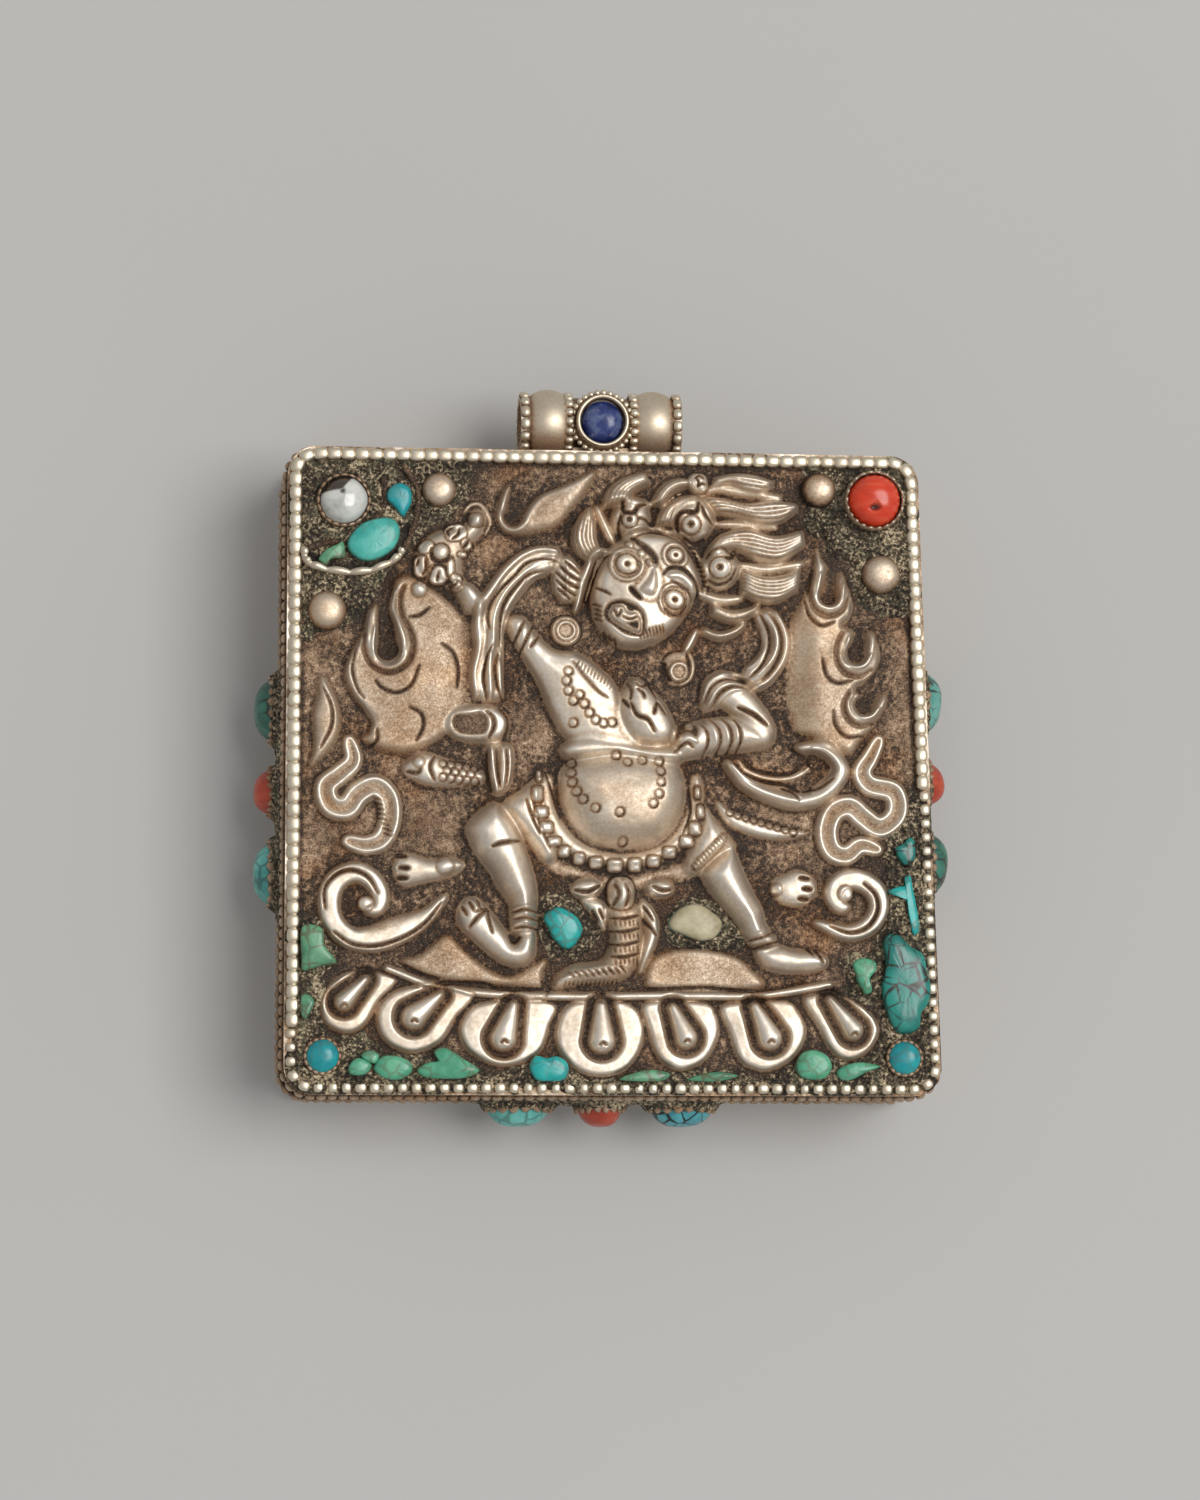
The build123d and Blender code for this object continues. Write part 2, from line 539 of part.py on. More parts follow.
# Settings on three side walls
SIDES = {
    "left": ((LEFT, LEFT_SETTING_Y), (-1, 0)),
    "right": ((right_edge(RIGHT_SETTING_Y), RIGHT_SETTING_Y), (FACE_HEIGHT, RIGHT_BOTTOM - RIGHT_TOP)),
    "bottom": ((BOTTOM_SETTING_X, -HALF_HEIGHT), (0, -1)),
}
turquoise_x = SIDE_TURQUOISE_LENGTH / 2
turquoise_y = SIDE_TURQUOISE_WIDTH / 2
side_coral = SIDE_CORAL_DIAMETER / 2
inset = BEZEL_WALL + STONE_CLEARANCE
setting = RectangleRounded(SETTING_LENGTH, SETTING_WIDTH, SETTING_WIDTH * 0.4)
for side, (spot, normal) in SIDES.items():
    outward = Vector(normal[0], normal[1], 0).normalized()
    wall = Plane(
        origin=(spot[0], spot[1], SETTING_Z),
        x_dir=Vector(0, 0, 1).cross(outward),
        z_dir=outward,
    )
    parts[side + "_setting_plate"] = wall * extrude(setting, SETTING_THICKNESS)
    bezels = []
    for tag, shift in (("a", -SETTING_PITCH), ("b", SETTING_PITCH)):
        place = wall * Pos(shift, 0, SETTING_THICKNESS)
        stone = dome(turquoise_x - inset, turquoise_y - inset, SIDE_STONE_HEIGHT)
        bezels.append(place * ring(turquoise_x, turquoise_y, SIDE_BEZEL_HEIGHT))
        parts[side + "_turquoise_" + tag] = place * stone
    place = wall * Pos(0, 0, SETTING_THICKNESS)
    bezels.append(place * ring(side_coral, side_coral, SIDE_BEZEL_HEIGHT))
    parts[side + "_bezels"] = Compound(children=[bezel.solid() for bezel in bezels])
    parts[side + "_coral"] = place * dome(side_coral - inset, side_coral - inset, SIDE_STONE_HEIGHT)

# Bail: tube on a saddle, bead rings and a lapis in a bezel on the front
ring_inner = BAIL_RADIUS + SOLDER_FILM
ring_outer = ring_inner + BAIL_RING_HEIGHT
bail_x = (LEFT + RIGHT_TOP) / 2
bail_y = HALF_HEIGHT + BAIL_GAP + ring_outer
bail = Plane(origin=(bail_x, bail_y, BAIL_Z), x_dir=(0, 0, -1), z_dir=(1, 0, 0))
tube = extrude(Circle(BAIL_RADIUS) - Circle(BAIL_BORE_RADIUS), BAIL_LENGTH / 2, both=True)
parts["bail_tube"] = bail * tube

saddle_length = BAIL_LENGTH - 2 * SADDLE_SETBACK
saddle_depth = BAIL_GAP + ring_outer
saddle_place = Pos(bail_x, HALF_HEIGHT + saddle_depth / 2, BAIL_Z)
saddle = saddle_place * Box(saddle_length, saddle_depth, SADDLE_WIDTH)
parts["bail_saddle"] = saddle - bail * Cylinder(BAIL_RADIUS, 2 * BAIL_LENGTH)

hoop_inner = ring_inner / cos(pi / HOOP_SIDES)
hoop_face = RegularPolygon(ring_outer, HOOP_SIDES) - RegularPolygon(hoop_inner, HOOP_SIDES)
hoop = extrude(hoop_face, BAIL_RING_WIDTH / 2, both=True)
end_shift = (BAIL_LENGTH - BAIL_RING_WIDTH) / 2
end_rings = [bail * Pos(0, 0, shift) * hoop for shift in (-end_shift, end_shift)]
parts["bail_end_rings"] = Compound(children=[part.solid() for part in end_rings])

saddle_room = saddle_place * Box(saddle_length, saddle_depth, SADDLE_WIDTH + 2 * STONE_CLEARANCE)
inner_shift = BAIL_RING_SPREAD / 2
inner_rings = [bail * Pos(0, 0, shift) * hoop - saddle_room for shift in (-inner_shift, inner_shift)]
parts["bail_inner_rings"] = Compound(children=[part.solid() for part in inner_rings])

bezel_place = Pos(bail_x, bail_y, BAIL_Z)
tube_room = bail * Cylinder(ring_inner, 2 * BAIL_LENGTH)
bezel = bezel_place * ring(BAIL_BEZEL_RADIUS, BAIL_BEZEL_RADIUS, BAIL_RADIUS + BAIL_BEZEL_RISE)
parts["bail_bezel"] = bezel - tube_room
lapis_radius = BAIL_BEZEL_RADIUS - inset
lapis = bezel_place * dome(lapis_radius, lapis_radius, BAIL_RADIUS + LAPIS_RISE)
parts["bail_lapis"] = lapis - tube_room

os.makedirs("parts", exist_ok=True)
for name, shape in parts.items():
    shape.label = name
    export_step(shape, os.path.join("parts", name + ".step"))
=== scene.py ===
from math import cos, pi, radians, sin, tan

import bmesh
import bpy
import numpy as np
from mathutils import Matrix, Vector


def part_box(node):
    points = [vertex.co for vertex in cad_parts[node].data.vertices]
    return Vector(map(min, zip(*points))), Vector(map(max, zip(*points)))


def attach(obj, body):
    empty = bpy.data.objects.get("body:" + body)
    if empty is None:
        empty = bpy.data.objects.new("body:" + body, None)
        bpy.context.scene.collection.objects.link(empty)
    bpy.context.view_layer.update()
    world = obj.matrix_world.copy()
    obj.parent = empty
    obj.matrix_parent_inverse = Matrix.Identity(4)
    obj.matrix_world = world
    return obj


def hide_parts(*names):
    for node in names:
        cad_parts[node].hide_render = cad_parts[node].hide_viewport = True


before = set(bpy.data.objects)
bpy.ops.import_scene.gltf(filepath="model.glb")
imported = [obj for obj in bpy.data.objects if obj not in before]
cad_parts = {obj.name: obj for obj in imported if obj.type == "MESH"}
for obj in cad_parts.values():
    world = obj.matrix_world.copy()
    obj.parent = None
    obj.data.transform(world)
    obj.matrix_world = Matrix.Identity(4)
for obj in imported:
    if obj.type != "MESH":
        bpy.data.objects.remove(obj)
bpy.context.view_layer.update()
random = np.random.default_rng(7)

# The panel is drawn on a sheet in tenths of a millimetre, x to the right and y down
TENTH = 1e-4
MILLIMETRE = 1e-3
SHEET_CENTRE = (610.0, 771.0)
SHEET_PANEL = (284.0, 444.0, 946.0, 1098.0)
RELIEF_STEP = 1.0
PLATE_OVERHANG = 0.00025
TOP_WIDTH = 0.0632
BOTTOM_WIDTH = 0.0652
CORNER_RADIUS = 0.0026
CORNER_STEPS = 12
SETTING_THICKNESS = 0.0005
BAIL_BORE_RADIUS = 0.0022

# Levels and edges of the box, from the frame
CASE_LOW, CASE_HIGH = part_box("case_wall")
LEFT = CASE_LOW[0]
LOW_EDGE = CASE_LOW[1]
HIGH_EDGE = CASE_HIGH[1]
CASE_TOP = CASE_HIGH[2]
FACE_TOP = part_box("face_bead_wire")[0][2]
LAC_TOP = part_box("lac_bed")[1][2]


def sheet(x, y):
    """A sheet point carried to the panel, in metres."""
    return ((x - SHEET_CENTRE[0]) * TENTH, (SHEET_CENTRE[1] - y) * TENTH)


def right_edge(y):
    """X of the slanting right wall at a height y of the panel."""
    share = (HIGH_EDGE - y) / (HIGH_EDGE - LOW_EDGE)
    return LEFT + TOP_WIDTH + (BOTTOM_WIDTH - TOP_WIDTH) * share


def around(count):
    """Evenly spaced angles of a full turn."""
    return np.linspace(0, 2 * pi, count, endpoint=False)


def sideways(steps):
    """Unit directions to the right of some steps."""
    ahead = steps / np.hypot(*steps.T)[:, None]
    return np.stack([ahead[:, 1], -ahead[:, 0]], axis=1)


def box_outline(grow, count):
    """Evenly spaced points along the box outline moved outwards, with outward directions."""
    low = LOW_EDGE - grow
    high = HIGH_EDGE + grow
    left = LEFT - grow
    radius = CORNER_RADIUS + grow
    corners = [
        (right_edge(high) + grow - radius, high - radius, 0),
        (left + radius, high - radius, 90),
        (left + radius, low + radius, 180),
        (right_edge(low) + grow - radius, low + radius, 270),
    ]
    dense = []
    for x, y, start in corners:
        for step in range(CORNER_STEPS + 1):
            turn = radians(start + 90 * step / CORNER_STEPS)
            dense.append((x + radius * cos(turn), y + radius * sin(turn)))
    dense = np.array(dense + dense[:1])
    lengths = np.hypot(*np.diff(dense, axis=0).T)
    travel = np.concatenate([[0], np.cumsum(lengths)])
    wanted = np.linspace(0, travel[-1], count, endpoint=False)
    points = np.stack([np.interp(wanted, travel, dense[:, k]) for k in (0, 1)], axis=1)
    return points, sideways(np.roll(points, -1, axis=0) - np.roll(points, 1, axis=0))


# Materials


def linear(red, green, blue):
    """A display colour of 0 to 255 as a shader colour."""
    values = np.array([red, green, blue]) / 255
    values = np.where(values <= 0.04045, values / 12.92, ((values + 0.055) / 1.055) ** 2.4)
    return (*values, 1.0)


class Nodes:
    """A small hand for building a node material."""

    def __init__(self, name):
        self.material = bpy.data.materials.new(name)
        self.material.use_nodes = True
        self.tree = self.material.node_tree
        self.shader = self.tree.nodes["Principled BSDF"]
        self.place = self.add("ShaderNodeTexCoord").outputs["Object"]

    def add(self, kind, inputs=None, **settings):
        node = self.tree.nodes.new(kind)
        for key, value in settings.items():
            setattr(node, key, value)
        for key, value in (inputs or {}).items():
            self.put(value, node.inputs[key])
        return node

    def put(self, value, socket):
        if isinstance(value, bpy.types.NodeSocket):
            self.tree.links.new(value, socket)
        else:
            socket.default_value = value

    def noise(self, scale, detail=4.0, roughness=0.55, stretch=None):
        place = self.place
        if stretch:
            mapping = self.add("ShaderNodeMapping", {"Vector": place, "Scale": stretch})
            place = mapping.outputs["Vector"]
        inputs = {"Vector": place, "Scale": scale, "Detail": detail, "Roughness": roughness}
        return self.add("ShaderNodeTexNoise", inputs).outputs["Fac"]

    def clouds(self, scale, stops, roughness=0.6):
        """A noise, and the colours that run along it."""
        noise = self.noise(scale, 5.0, roughness)
        return noise, self.ramp(noise, [(position, linear(*colour)) for position, colour in stops])

    def web(self, scale):
        """Distance to the edges of scattered cells."""
        inputs = {"Vector": self.place, "Scale": scale}
        return self.add("ShaderNodeTexVoronoi", inputs, feature="DISTANCE_TO_EDGE").outputs["Distance"]

    def grime_and_shade(self):
        # The per-vertex darkening: patina and dirt, with painted shade at the feet of beads, studs and bezels
        # and on the bail's side towards the case.
        return self.add("ShaderNodeAttribute", attribute_name="grime_and_shade").outputs["Fac"]

    def math(self, operation, a, b=0.0, clamp=False):
        node = self.add("ShaderNodeMath", operation=operation, use_clamp=clamp)
        self.put(a, node.inputs[0])
        self.put(b, node.inputs[1])
        return node.outputs[0]

    def swing(self, noise, amount):
        """A noise swung about zero."""
        return self.math("MULTIPLY", self.math("SUBTRACT", noise, 0.5), amount)

    def ramp(self, value, stops):
        node = self.add("ShaderNodeValToRGB", {"Fac": value})
        elements = node.color_ramp.elements
        while len(elements) < len(stops):
            elements.new(0.5)
        for element, (position, colour) in zip(elements, stops):
            element.position = position
            element.color = colour if isinstance(colour, tuple) else (colour, colour, colour, 1)
        return node.outputs["Color"]

    def mix(self, share, a, b, blend="MIX"):
        node = self.add("ShaderNodeMix", data_type="RGBA", blend_type=blend)
        self.put(share, node.inputs["Factor"])
        self.put(a, node.inputs["A"])
        self.put(b, node.inputs["B"])
        return node.outputs["Result"]

    def set(self, **sockets):
        for key, value in sockets.items():
            self.put(value, self.shader.inputs[key.replace("_", " ")])

    def bump(self, height, strength, distance):
        inputs = {"Height": height, "Strength": strength, "Distance": distance}
        self.set(Normal=self.add("ShaderNodeBump", inputs).outputs["Normal"])


def silver(name, bright, dirt, roughness):
    """Worn silver: polished on the heights, brown patina, dirt and painted shade where the grime_and_shade
    attribute says.
    """
    n = Nodes(name)
    cloud = n.noise(260.0, 6.0, 0.6)
    fine = n.noise(2600.0, 3.0, 0.6)
    grit = n.noise(6500.0, 2.0, 0.6)
    lain = n.grime_and_shade()
    grime_and_shade = n.math("ADD", lain, dirt)
    gritty = n.math("MULTIPLY", n.swing(grit, 1.5), lain)
    blotched = n.math("ADD", grime_and_shade, n.swing(cloud, 0.55))
    worn = n.math("ADD", blotched, n.math("ADD", n.swing(fine, 0.45), gritty), clamp=True)
    colour = n.ramp(worn, [
        (0.0, linear(*bright)),
        (0.25, linear(210, 193, 172)),
        (0.5, linear(166, 139, 112)),
        (0.75, linear(108, 83, 61)),
        (1.0, linear(46, 35, 27)),
    ])
    warm = n.ramp(n.noise(170.0, 3.0, 0.6), [(0.5, 0.0), (0.66, 1.0)])
    colour = n.mix(n.math("MULTIPLY", warm, grime_and_shade, clamp=True), colour, (1.0, 0.78, 0.55, 1), "MULTIPLY")
    metal = n.ramp(worn, [(0.18, 1.0), (0.62, 0.3)])
    rough = n.ramp(worn, [(0.0, roughness), (0.5, roughness + 0.14), (1.0, 0.72)])
    scratches = n.noise(900.0, 2.0, 0.5, stretch=(0.12, 1.0, 1.0))
    dents = n.noise(420.0, 3.0, 0.5)
    n.bump(n.math("ADD", n.math("MULTIPLY", scratches, 0.4), n.math("ADD", dents, fine)), 0.32, 0.00004)
    n.set(Base_Color=colour, Metallic=metal, Roughness=rough)
    return n.material


def turquoise(name, light, deep, matrix, veins):
    """Turquoise with colour clouds, a dark matrix in the cracks and waxy gloss."""
    n = Nodes(name)
    cloud, body = n.clouds(420.0, [(0.32, deep), (0.62, light)])
    wander = n.swing(n.noise(336.0, 3.0, 0.5), 0.5)
    crack = n.math("ADD", n.web(630.0), wander)
    line = n.ramp(crack, [(0.0, veins * 2), (0.08, 0.0)])
    grime_and_shade = n.math("ADD", n.grime_and_shade(), line, clamp=True)
    gloss = n.ramp(cloud, [(0.3, 0.2), (0.7, 0.38)])
    n.set(Base_Color=n.mix(grime_and_shade, body, linear(*matrix)), Roughness=gloss, Specular_IOR_Level=0.55)
    n.bump(n.math("ADD", cloud, n.math("MULTIPLY", crack, 0.6)), 0.25, 0.0001)
    return n.material


def coral(name, fresh, shaded):
    """Coral: even red with pale growth lines and a gloss."""
    n = Nodes(name)
    cloud, body = n.clouds(300.0, [(0.3, shaded), (0.6, fresh)])
    lines = n.noise(1500.0, 2.0, 0.5, stretch=(0.2, 1.0, 0.4))
    body = n.mix(n.ramp(lines, [(0.45, 0.0), (0.75, 0.35)]), body, linear(222, 112, 78))
    n.set(Base_Color=n.mix(n.grime_and_shade(), body, linear(48, 18, 12)), Roughness=0.24)
    n.set(Subsurface_Weight=0.06, Subsurface_Scale=0.0006)
    n.bump(n.math("ADD", cloud, lines), 0.14, 0.00008)
    return n.material


def pearl():
    """Pearl: pale clouds under a clear coat."""
    n = Nodes("pearl")
    cloud, body = n.clouds(380.0, [(0.3, (160, 160, 152)), (0.5, (206, 208, 202)), (0.7, (226, 224, 214))])
    n.set(Base_Color=n.mix(n.grime_and_shade(), body, linear(60, 48, 38)), Roughness=0.22)
    n.set(Coat_Weight=0.6, Subsurface_Weight=0.08, Subsurface_Scale=0.0008)
    n.bump(cloud, 0.12, 0.0001)
    return n.material


def lapis():
    """Lapis: blue clouds with flecks of pyrite."""
    n = Nodes("lapis")
    cloud, body = n.clouds(520.0, [(0.32, (22, 30, 66)), (0.5, (42, 58, 116)), (0.68, (108, 120, 150))], 0.65)
    gold = n.ramp(n.noise(2600.0, 2.0, 0.5), [(0.7, 0.0), (0.76, 1.0)])
    n.set(Base_Color=n.mix(gold, body, linear(176, 150, 90)), Roughness=0.22)
    n.bump(cloud, 0.1, 0.0001)
    return n.material


def pale_stone():
    """A pale stone, turquoise along its rim."""
    n = Nodes("pale_stone")
    cloud, body = n.clouds(520.0, [(0.3, (150, 138, 104)), (0.55, (190, 180, 150)), (0.75, (206, 198, 172))])
    rim = n.ramp(n.grime_and_shade(), [(0.1, 0.0), (0.45, 1.0)])
    n.set(Base_Color=n.mix(rim, body, linear(56, 136, 128)), Roughness=0.4)
    n.bump(cloud, 0.3, 0.00015)
    return n.material


def lac():
    """Dark lac: granular, dusty on the heights, nearly black in the pores."""
    n = Nodes("lac")
    grain = n.noise(3000.0, 4.0, 0.7)
    cloud = n.noise(300.0, 4.0, 0.6)
    mixed = n.math("ADD", n.math("MULTIPLY", grain, 0.7), n.math("MULTIPLY", cloud, 0.3))
    body = n.ramp(mixed, [
        (0.42, linear(20, 16, 11)),
        (0.48, linear(60, 50, 36)),
        (0.53, linear(112, 96, 72)),
        (0.59, linear(206, 188, 156)),
    ])
    body = n.mix(n.ramp(n.noise(700.0, 3.0, 0.6), [(0.5, 0.0), (0.7, 0.4)]), body, linear(92, 98, 76))
    n.set(Base_Color=n.mix(n.grime_and_shade(), body, linear(38, 29, 22)), Roughness=0.82)
    n.bump(grain, 0.7, 0.0002)
    return n.material


SILVER = silver("silver", (228, 216, 194), 0.0, 0.44)
SILVER_RELIEF = silver("silver_relief", (236, 226, 212), 0.0, 0.47)
SILVER_BEADS = silver("silver_beads", (228, 218, 196), 0.06, 0.4)
SILVER_WALL = silver("silver_wall", (212, 199, 178), 0.4, 0.4)
SILVER_BACK = silver("silver_back", (216, 208, 192), 0.14, 0.36)
SILVER_INSIDE = silver("silver_inside", (200, 188, 168), 0.26, 0.42)
LAC = lac()
CORAL = coral("coral", (214, 62, 32), (176, 38, 16))
SIDE_CORAL = coral("side_coral", (180, 68, 44), (140, 46, 28))
PEARL = pearl()
LAPIS = lapis()
PALE_STONE = pale_stone()

# Turquoises: light and deep colour, colour of the matrix, strength of the veins
BROWN = (92, 66, 40)
DARK = (40, 34, 26)
BLACK = (18, 16, 14)
TURQUOISES = {
    "blue": ((22, 160, 164), (6, 126, 136), BROWN, 0.12),
    "aqua": ((84, 188, 174), (48, 158, 148), BROWN, 0.1),
    "bright": ((36, 178, 170), (12, 144, 144), BROWN, 0.2),
    "veined": ((110, 172, 160), (66, 132, 124), DARK, 0.45),
    "green": ((102, 160, 122), (66, 122, 92), BROWN, 0.3),
    "pale": ((96, 174, 138), (62, 142, 110), BROWN, 0.2),
    "teal": ((38, 140, 128), (16, 102, 94), DARK, 0.5),
    "deep": ((62, 122, 104), (30, 78, 66), DARK, 0.45),
    "side": ((110, 190, 180), (62, 146, 140), DARK, 0.25),
    "black": ((88, 176, 184), (50, 130, 142), BLACK, 0.6),
}
STONE = {look: turquoise("turquoise_" + look, *values) for look, values in TURQUOISES.items()}


# Pieces


def piece(name, verts, faces, grime_and_shade, material, slot, node=None):
    """One mesh of the front half, standing for its CAD node."""
    mesh = bpy.data.meshes.new(name)
    mesh.from_pydata(np.asarray(verts).tolist(), [], faces)
    mesh.polygons.foreach_set("use_smooth", [True] * len(mesh.polygons))
    mesh.attributes.new("grime_and_shade", "FLOAT", "POINT").data.foreach_set("value", np.asarray(grime_and_shade, float))
    mesh.materials.append(material)
    mesh.update()
    item = bpy.data.objects.new(name, mesh)
    bpy.context.collection.objects.link(item)
    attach(item, "front_case")
    if node:
        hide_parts(node)


class Pile:
    """Vertices, faces and darkening (grime and painted shade) gathered for one piece."""

    def __init__(self):
        self.verts = []
        self.faces = []
        self.grime_and_shade = []
        self.count = 0

    def add(self, verts, faces, grime_and_shade):
        verts = np.asarray(verts, float)
        self.verts.append(verts)
        self.faces += [tuple(index + self.count for index in face) for face in faces]
        self.grime_and_shade.append(np.broadcast_to(np.asarray(grime_and_shade, float), len(verts)))
        self.count += len(verts)

    def piece(self, name, material, slot, node):
        verts = np.concatenate(self.verts)
        piece(name, verts, self.faces, np.concatenate(self.grime_and_shade), material, slot, node)


def ball(subdivisions):
    """Vertices and faces of a unit ball."""
    form = bmesh.new()
    bmesh.ops.create_icosphere(form, subdivisions=subdivisions, radius=1.0)
    form.verts.ensure_lookup_table()
    verts = np.array([vert.co[:] for vert in form.verts])
    faces = [tuple(vert.index for vert in face.verts) for face in form.faces]
    form.free()
    return verts, faces


ROUND_BALL = ball(3)
SMALL_BALL = ball(2)


def add_bead(pile, centre, along, across, up, sizes, template, grime_and_shade=0.55, square=0.85):
    """A squashed ball, squarer as square falls; its lower half, towards what it sits on, is darkened by dirt
    and painted shade.
    """
    verts, faces = template
    along, across, up = (np.asarray(axis, float) for axis in (along, across, up))
    local = np.sign(verts) * np.abs(verts) ** square * sizes
    placed = centre + local[:, :1] * along + local[:, 1:2] * across + local[:, 2:] * up
    # Dirt and painted shade: darker towards the foot of the bead.
    pile.add(placed, faces, grime_and_shade * np.clip(0.55 - verts[:, 2], 0, 1))


def lathe(rings, darks, closed_top=True):
    """A skin over equal rings of points, bottom first: vertices, faces and the darkening of each ring, grime
    and painted shade.
    """
    count = len(rings[0])
    last = (len(rings) - 1) * count
    faces = []
    for start in range(0, last, count):
        for i in range(count):
            j = (i + 1) % count
            faces.append((start + i, start + j, start + count + j, start + count + i))
    if closed_top:
        faces.append(tuple(range(last, last + count)))
    grime_and_shade = np.concatenate([np.broadcast_to(dark, count) for dark in darks])
    return np.concatenate(rings), faces, grime_and_shade


class Spot:
    """A place with its own axes: x along, y across, z out of the surface."""

    def __init__(self, origin, along=(1, 0, 0), out=(0, 0, 1)):
        self.origin = np.array(origin, float)
        self.out = np.array(out, float) / np.linalg.norm(out)
        self.along = np.array(along, float) / np.linalg.norm(along)
        self.across = np.cross(self.out, self.along)

    def at(self, x, y, z):
        x, y, z = (np.asarray(value, float)[..., None] for value in (x, y, z))
        return self.origin + x * self.along + y * self.across + z * self.out

    def ring(self, turns, radius, z):
        return self.at(radius * np.cos(turns), radius * np.sin(turns), z)

    def spokes(self, count):
        """Evenly spaced directions round the place: outwards and onwards."""
        for turn in around(count):
            outward = cos(turn) * self.along + sin(turn) * self.across
            yield outward, cos(turn) * self.across - sin(turn) * self.along


def ripple(turns, seed, amount):
    """A closed, uneven outline factor around a stone."""
    own = np.random.default_rng(seed)
    waves = sum(own.normal() / k * np.cos(k * turns + own.uniform(0, 2 * pi)) for k in range(2, 7))
    return 1 + amount * waves


STONE_SIDES = 80
STONE_LEVELS = 22


def cabochon(name, spot, radius_x, radius_y, height, material, slot, node, seed, worn=0.03, mark=None):
    """A hand-cut round stone: uneven rim, domed top, flats left by wear.

    A mark sinks and darkens a part of it.
    """
    turns = around(STONE_SIDES)
    tilt_x, tilt_y = np.random.default_rng(seed).normal(0, 0.05, 2)
    rim = ripple(turns, seed, worn)
    rings = []
    darks = []
    for share in np.linspace(0, 1, STONE_LEVELS):
        angle = share * pi / 2
        radius = cos(angle) ** 0.75
        reach = radius * (rim * (1 - share) + share)
        x = reach * np.cos(turns)
        y = reach * np.sin(turns)
        lumps = 1 + worn * 0.8 * np.cos(2 * turns + seed) * radius
        z = height * sin(angle) * lumps + (tilt_x * x * radius_x + tilt_y * y * radius_y) * share
        dark = max(0.0, 0.6 - 3.5 * share)
        if mark:
            sunk = mark(x, y)
            z = z - 0.18 * height * sunk
            dark = np.maximum(dark, sunk)
        rings.append(spot.at(x * radius_x, y * radius_y, z))
        darks.append(dark)
    piece(name, *lathe(rings, darks), material, slot, node)


def pearl_break(x, y):
    """The broken quarter of the pearl and its drill hole, on a unit disc."""
    lower = (y - 0.36 - 0.15 * (x + 0.1)) / 0.05
    right = (y - 0.36 - 1.25 * (x + 0.1)) / 0.08
    hole = 1.5 - np.hypot(x + 0.1, y - 0.3) / 0.1
    return np.clip(np.maximum(np.minimum(lower, right), hole), 0, 1)


def coral_chip(x, y):
    """A small dark chip in the coral, on a unit disc."""
    return np.clip(1.6 - np.hypot((x + 0.05) / 0.17, (y + 0.32) / 0.1), 0, 1)


# Section of a bezel: lean towards the outside, rise, and darkening, which at both feet is dirt and painted
# shade
BEZEL_SECTION = [
    (0.0, 0.0, 0.7), (0.03, 0.35, 0.45), (-0.05, 0.8, 0.1), (-0.16, 1.0, 0.0), (-0.32, 0.96, 0.15),
    (-0.3, 0.6, 0.8),
]
BEZEL_LEAN = 0.00096
TOOTH_STEPS = 8


def add_scallops(pile, spot, radius_x, radius_y, height, teeth, seed, pointed=False):
    """A bezel cut into scallops that are pressed against the stone."""
    turns = around(teeth * TOOTH_STEPS)
    wave = np.abs(np.cos(teeth * turns / 2))
    wave = wave if pointed else np.sqrt(wave)
    bent = np.repeat(np.random.default_rng(seed).uniform(0.75, 1.08, teeth), TOOTH_STEPS)
    top = height * (0.45 + 0.55 * wave * bent)
    rings = []
    darks = []
    for lean, rise, dark in BEZEL_SECTION:
        x = (radius_x + lean * BEZEL_LEAN) * np.cos(turns)
        y = (radius_y + lean * BEZEL_LEAN) * np.sin(turns)
        rings.append(spot.at(x, y, top * rise))
        # Dirt and painted shade: darker at the feet of the bezel and in the dips between its teeth.
        darks.append(np.clip(dark + 0.45 * (1 - wave), 0, 1))
    pile.add(*lathe(rings, darks, closed_top=False))


def sheet_points(text):
    """The sheet points that a text lists."""
    return np.array([[float(value) for value in pair.split(",")] for pair in text.split()])


def smooth_path(text, closed=False, samples=6):
    """A smooth curve through the listed sheet points."""
    points = sheet_points(text)
    if len(points) < 3:
        return points
    if closed:
        padded = np.concatenate([points[-1:], points, points[:2]])
    else:
        padded = np.concatenate([2 * points[:1] - points[1:2], points, 2 * points[-1:] - points[-2:-1]])
    a, b, c, d = padded[:-3, None], padded[1:-2, None], padded[2:-1, None], padded[3:, None]
    t = np.linspace(0, 1, samples, endpoint=False)[None, :, None]
    second = 2 * a - 5 * b + 4 * c - d
    third = 3 * b - a - 3 * c + d
    curve = 0.5 * (2 * b + (c - a) * t + second * t ** 2 + third * t ** 3)
    curve = curve.reshape(-1, 2)
    return curve if closed else np.concatenate([curve, points[-1:]])


# The relief of the figure, as heights on the sheet in tenths of a millimetre


def bulge(share):
    """One on the line of a stroke, falling to zero at its edge."""
    return np.clip(1 - share ** 2, 0, 1)


def beside(gap, line, width):
    """One on a line beside a stroke, fading to zero over a width."""
    return np.clip(1 - np.abs(gap - line) / width, 0, 1)


